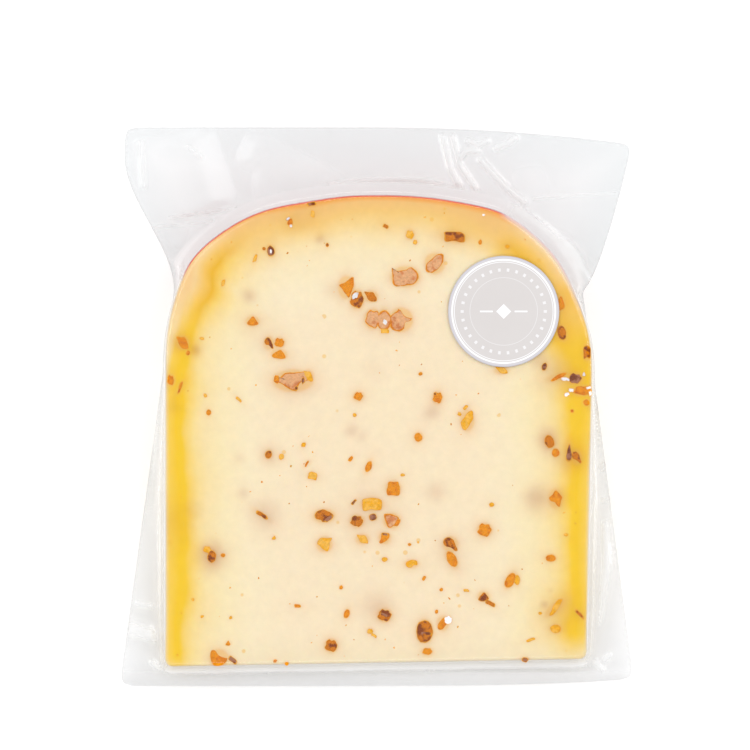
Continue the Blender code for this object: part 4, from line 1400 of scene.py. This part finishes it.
def film_rings(edge, side):
    """The rings from the cut face's edge out to the flange, and how far out the last one is."""
    line, normal = edge_line, edge_out
    face_height, rounding = wall_sizes(line)
    room = face_height - rounding - SHEET_GAP / 2.0 - 0.2
    follow = SIDE_FOLLOW + (FOLLOW_RADIUS - SIDE_FOLLOW) * eased((normal[:, 1] - 0.2) / 0.4)
    radius = np.minimum(np.minimum(follow, 0.5 * ((edge - line) * normal).sum(axis=1)), room)
    rings = rounding_rings(0.0)
    top, foot = face_height - rounding, SHEET_GAP / 2.0 + radius
    for share in np.linspace(0.0, 1.0, FILM_WALL_STEPS + 2)[1:-1]:
        rings.append(wall_ring(line, normal, top + (foot - top) * share, 0.0))
    rings += [hollow_ring(line, normal, radius, turn) for turn in HOLLOW_TURNS]
    return [ring * (1.0, 1.0, side) for ring in rings], radius


def flange_values(net, from_edge):
    """How milky, ribbed, grey and soft the flange is. The grey is painted shade."""
    # Painted shade: the tint is greyer at the top towards the pouch edge, greyer on the left than on the
    # right, and greyer along the sides above their middle.
    grey = eased((net[:, 1] - 92.0) / 20.0) * (1.0 - 0.9 * eased(from_edge / 13.0))
    sides = np.where(net[:, 0] < 0.0, 0.28, 0.14)
    sides = sides + 0.3 * eased((net[:, 1] - 48.0) / 16.0) * (net[:, 1] < 100.0)
    milk = eased((net[:, 1] - 16.0) / 4.5) * (from_edge > THIN_EDGE)
    soft = eased(facet_height(net) / 0.15)
    return {"milk": milk, "weld": weld_ribs(net), "grey": np.maximum(grey, sides), "soft": soft}


def film_sheet(name, side, material, face_gap, flange_gap):
    count = len(edge_line)
    edge = pouch_edge(edge_line, edge_out)
    rings, radius = film_rings(edge, side)
    spots, triangles = filled(face_line(), face_gap)
    extra = spots[count:]
    face = on_cut_face(extra[:, 0], extra[:, 1], film_bumps(extra) if side > 0 else 0.0, side)
    inner = edge_line + edge_out * radius[:, None]
    net, net_faces, outer = flange_net(inner, edge, flange_gap)
    net = net[count:]
    from_cheese, from_edge = nearest_on(inner, net)[0], nearest_on(outer, net)[0]
    lift = flange_height(net) * eased(from_cheese / 1.6)
    flange = np.column_stack([net, lift + side * SHEET_GAP / 2.0])
    points = np.vstack(rings + [face, flange])
    after = len(rings) * count
    beyond = after + len(face)
    faces = bands(len(rings), count, flip=side < 0)
    faces += renumbered(triangles, count, 0, after, side < 0)
    faces += renumbered(net_faces, count, after - count, beyond, side < 0)
    # The haze values carry painted highlights, painted glare and painted light as well as scuffs.
    haze_and_painted_light = flange_haze_and_highlights(net, from_cheese, from_edge)
    values = {"haze_and_painted_light": np.concatenate([ring_painted_light(edge_out), np.zeros(len(face)), haze_and_painted_light])}
    for key, numbers in flange_values(net, from_edge).items():
        elsewhere = float(key == "milk")
        values[key] = np.concatenate([np.full(beyond, elsewhere), numbers])
    return mesh_object(name, in_row_frame(points), faces, [material], values)


film = film_material()
upper_film = film_sheet("film_upper", 1.0, film, 0.62, 0.5)
lower_film = film_sheet("film_lower", -1.0, film, 1.2, 0.7)

# %% [markdown]
# ## The round label
#
# A silver-grey paper seal, pressed flat on the film. Its look comes from a few rings: a darker
# cut edge, two fine white lines and a plain field. It is a disc of rings in the mesh, storing
# the distance from its centre, so the printed rings are exactly round at any zoom.

# %% Label
FIELD_DARK = (0.63, 0.595, 0.585)
FIELD_LIGHT = (0.68, 0.65, 0.64)
LABEL_RIM = (0.62, 0.60, 0.64)
LABEL_EDGE = (0.52, 0.50, 0.53)
PRINT_WHITE = (0.93, 0.93, 0.95)
PRINTED_RINGS = ((11.1, 0.11, 0.85), (7.6, 0.07, 0.5))
DOTS = 30.0
LABEL_LIFT = 0.42
LABEL_STEPS = 180


def label_material():
    """A field with white print: rings, a lozenge between two bars, and a ring of small dots."""
    material, tree, _, cloud, _ = new_material("label_silver_grey", 90.0, 30.0)
    reach, across, up = (stored(tree, key) for key in ("reach", "across", "up"))
    colour = blended(tree, cloud, FIELD_DARK, FIELD_LIGHT)
    colour = blended(tree, mapped(tree, reach, 11.85, 12.0), colour, LABEL_RIM)
    colour = blended(tree, mapped(tree, reach, 12.2, 12.45), colour, LABEL_EDGE)
    white = [mapped(tree, gap_to(tree, reach, 11.6), 0.24, 0.14)]
    for radius, half, strength in PRINTED_RINGS:
        ring = mapped(tree, gap_to(tree, reach, radius), half, half * 0.5)
        white.append(times(tree, ring, strength))
    aside, above = gap_to(tree, across, 0.0), gap_to(tree, up, 0.0)
    white.append(mapped(tree, plus(tree, aside, above), 1.75, 1.6))
    bars = mapped(tree, gap_to(tree, aside, 3.9), 1.5, 1.4)
    white.append(times(tree, bars, mapped(tree, above, 0.22, 0.14)))
    beat = times(tree, math_node(tree, "ARCTAN2", up, across), DOTS)
    dots = mapped(tree, math_node(tree, "COSINE", beat), 0.45, 0.7)
    dots = times(tree, dots, mapped(tree, gap_to(tree, reach, 9.35), 0.42, 0.3))
    white.append(times(tree, dots, 0.6))
    printed = white[0]
    for other in white[1:]:
        printed = math_node(tree, "MAXIMUM", printed, other)
    colour = blended(tree, printed, colour, PRINT_WHITE)
    surfaced(tree, add(tree, "ShaderNodeBsdfPrincipled", Base_Color=colour, Roughness=0.38))
    return material


def round_label(material):
    steps = LABEL_STEPS
    turn = np.linspace(0.0, 2.0 * math.pi, steps, endpoint=False)
    reaches = np.concatenate([np.arange(0.25, 12.3, 0.25), [12.35, 12.46, LABEL_RADIUS]])
    lifts = LABEL_LIFT - 0.05 * eased((reaches - 12.3) / 0.2)
    reaches, lifts = np.append(reaches, LABEL_RADIUS), np.append(lifts, 0.3)
    across = np.concatenate([[0.0], np.outer(reaches, np.cos(turn)).ravel()])
    up = np.concatenate([[0.0], np.outer(reaches, np.sin(turn)).ravel()])
    lift = np.concatenate([[LABEL_LIFT], np.repeat(lifts, steps)])
    points = on_cut_face(LABEL_ACROSS + across, LABEL_OUT + up, lift)
    values = {"reach": np.hypot(across, up), "across": across, "up": up}
    faces = disc_faces(len(reaches), steps)
    return mesh_object("round_label", in_row_frame(points), faces, [material], values)


sticker = round_label(label_material())

# %% [markdown]
# ## Everything rides on the one body
#
# The pack has no moving pieces, so all of it rides on the root body. The film, cheese and seeds
# stand for the solid bag, and the printed disc stands for the solid label.

# %% Ride and replace
for piece in [cheese, upper_film, lower_film] + bit_pieces:
    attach(piece, "root")
    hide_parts("sealed_bag")
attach(sticker, "root")
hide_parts("label")

# %% [markdown]
# ## Studio
#
# The pack lies on a white table under soft light. The camera looks square on to the upper cut
# face, from far off through a long lens, so that near and far parts keep their sizes. Long
# narrow lamps at the sides draw bright lines along the folds of the film.

# %% Floor


def white_floor():
    material, tree, _, cloud, _ = new_material("floor_white", 3.0, 20.0)
    colour = blended(tree, cloud, (0.95, 0.95, 0.95), (0.96, 0.96, 0.96))
    look = {"Base_Color": colour, "Roughness": 0.9, "Emission_Color": colour}
    surfaced(tree, add(tree, "ShaderNodeBsdfPrincipled", Emission_Strength=0.1, **look))
    half, level = 1.6, -0.0002
    corners = [(-half, -half, level), (half, -half, level), (half, half, level), (-half, half, level)]
    return mesh_object("floor", corners, [[0, 1, 2, 3]], [material])


white_floor()

# %% Lamps and sky


def soft_lamp(name, where, size, power):
    lamp = bpy.data.lights.new(name, "AREA")
    lamp.shape, lamp.size, lamp.size_y, lamp.energy = "RECTANGLE", size[0], size[1], power
    thing = bpy.data.objects.new(name, lamp)
    thing.location = where
    aim = -thing.location.normalized()
    thing.rotation_mode = "QUATERNION"
    thing.rotation_quaternion = aim.to_track_quat("-Z", "Y")
    bpy.context.scene.collection.objects.link(thing)
    return thing


sky = bpy.data.worlds.new("studio_sky")
sky.use_nodes = True
sky.node_tree.nodes["Background"].inputs["Color"].default_value = (1.0, 1.0, 1.0, 1.0)
sky.node_tree.nodes["Background"].inputs["Strength"].default_value = 0.70
bpy.context.scene.world = sky
soft_lamp("strip_left", (-0.62, 0.0, 0.42), (0.06, 0.6), 0.6)
soft_lamp("strip_right", (0.62, 0.0, 0.42), (0.06, 0.6), 0.6)
soft_lamp("strip_top", (0.0, 0.66, 0.36), (0.6, 0.08), 0.7)
soft_lamp("box_top_left", (-0.55, 0.25, 0.9), (0.50, 0.55), 1.8)
soft_lamp("box_top_right", (0.55, 0.25, 0.9), (0.50, 0.55), 1.8)
soft_lamp("front_fill", (0.0, -0.75, 0.55), (0.9, 0.25), 1.6)

# %% Camera
LENS = 250.0
SENSOR = 36.0
FRAME_WIDTH = 168.75
VIEW_CENTRE = (-0.45, 85.7)
CLIP = (0.05, 10.0)


def photo_camera():
    camera = bpy.data.cameras.new("camera")
    camera.lens, camera.sensor_width = LENS, SENSOR
    target = in_row_frame(on_cut_face(*np.array([[VIEW_CENTRE[0]], [VIEW_CENTRE[1]], [0.0]])))[0]
    away = FRAME_WIDTH * MM * LENS / SENSOR
    slope = 2.0 * HALF_ANGLE
    back = np.array([0.0, -math.sin(slope), math.cos(slope)])
    thing = bpy.data.objects.new("camera", camera)
    thing.location = target + back * away
    thing.rotation_euler = (slope, 0.0, 0.0)
    camera.clip_start, camera.clip_end = CLIP
    bpy.context.scene.collection.objects.link(thing)
    bpy.context.scene.camera = thing
    print("camera distance, m", round(away, 3))


photo_camera()
view = bpy.context.scene.view_settings
view.view_transform = "Standard"
view.look = "None"
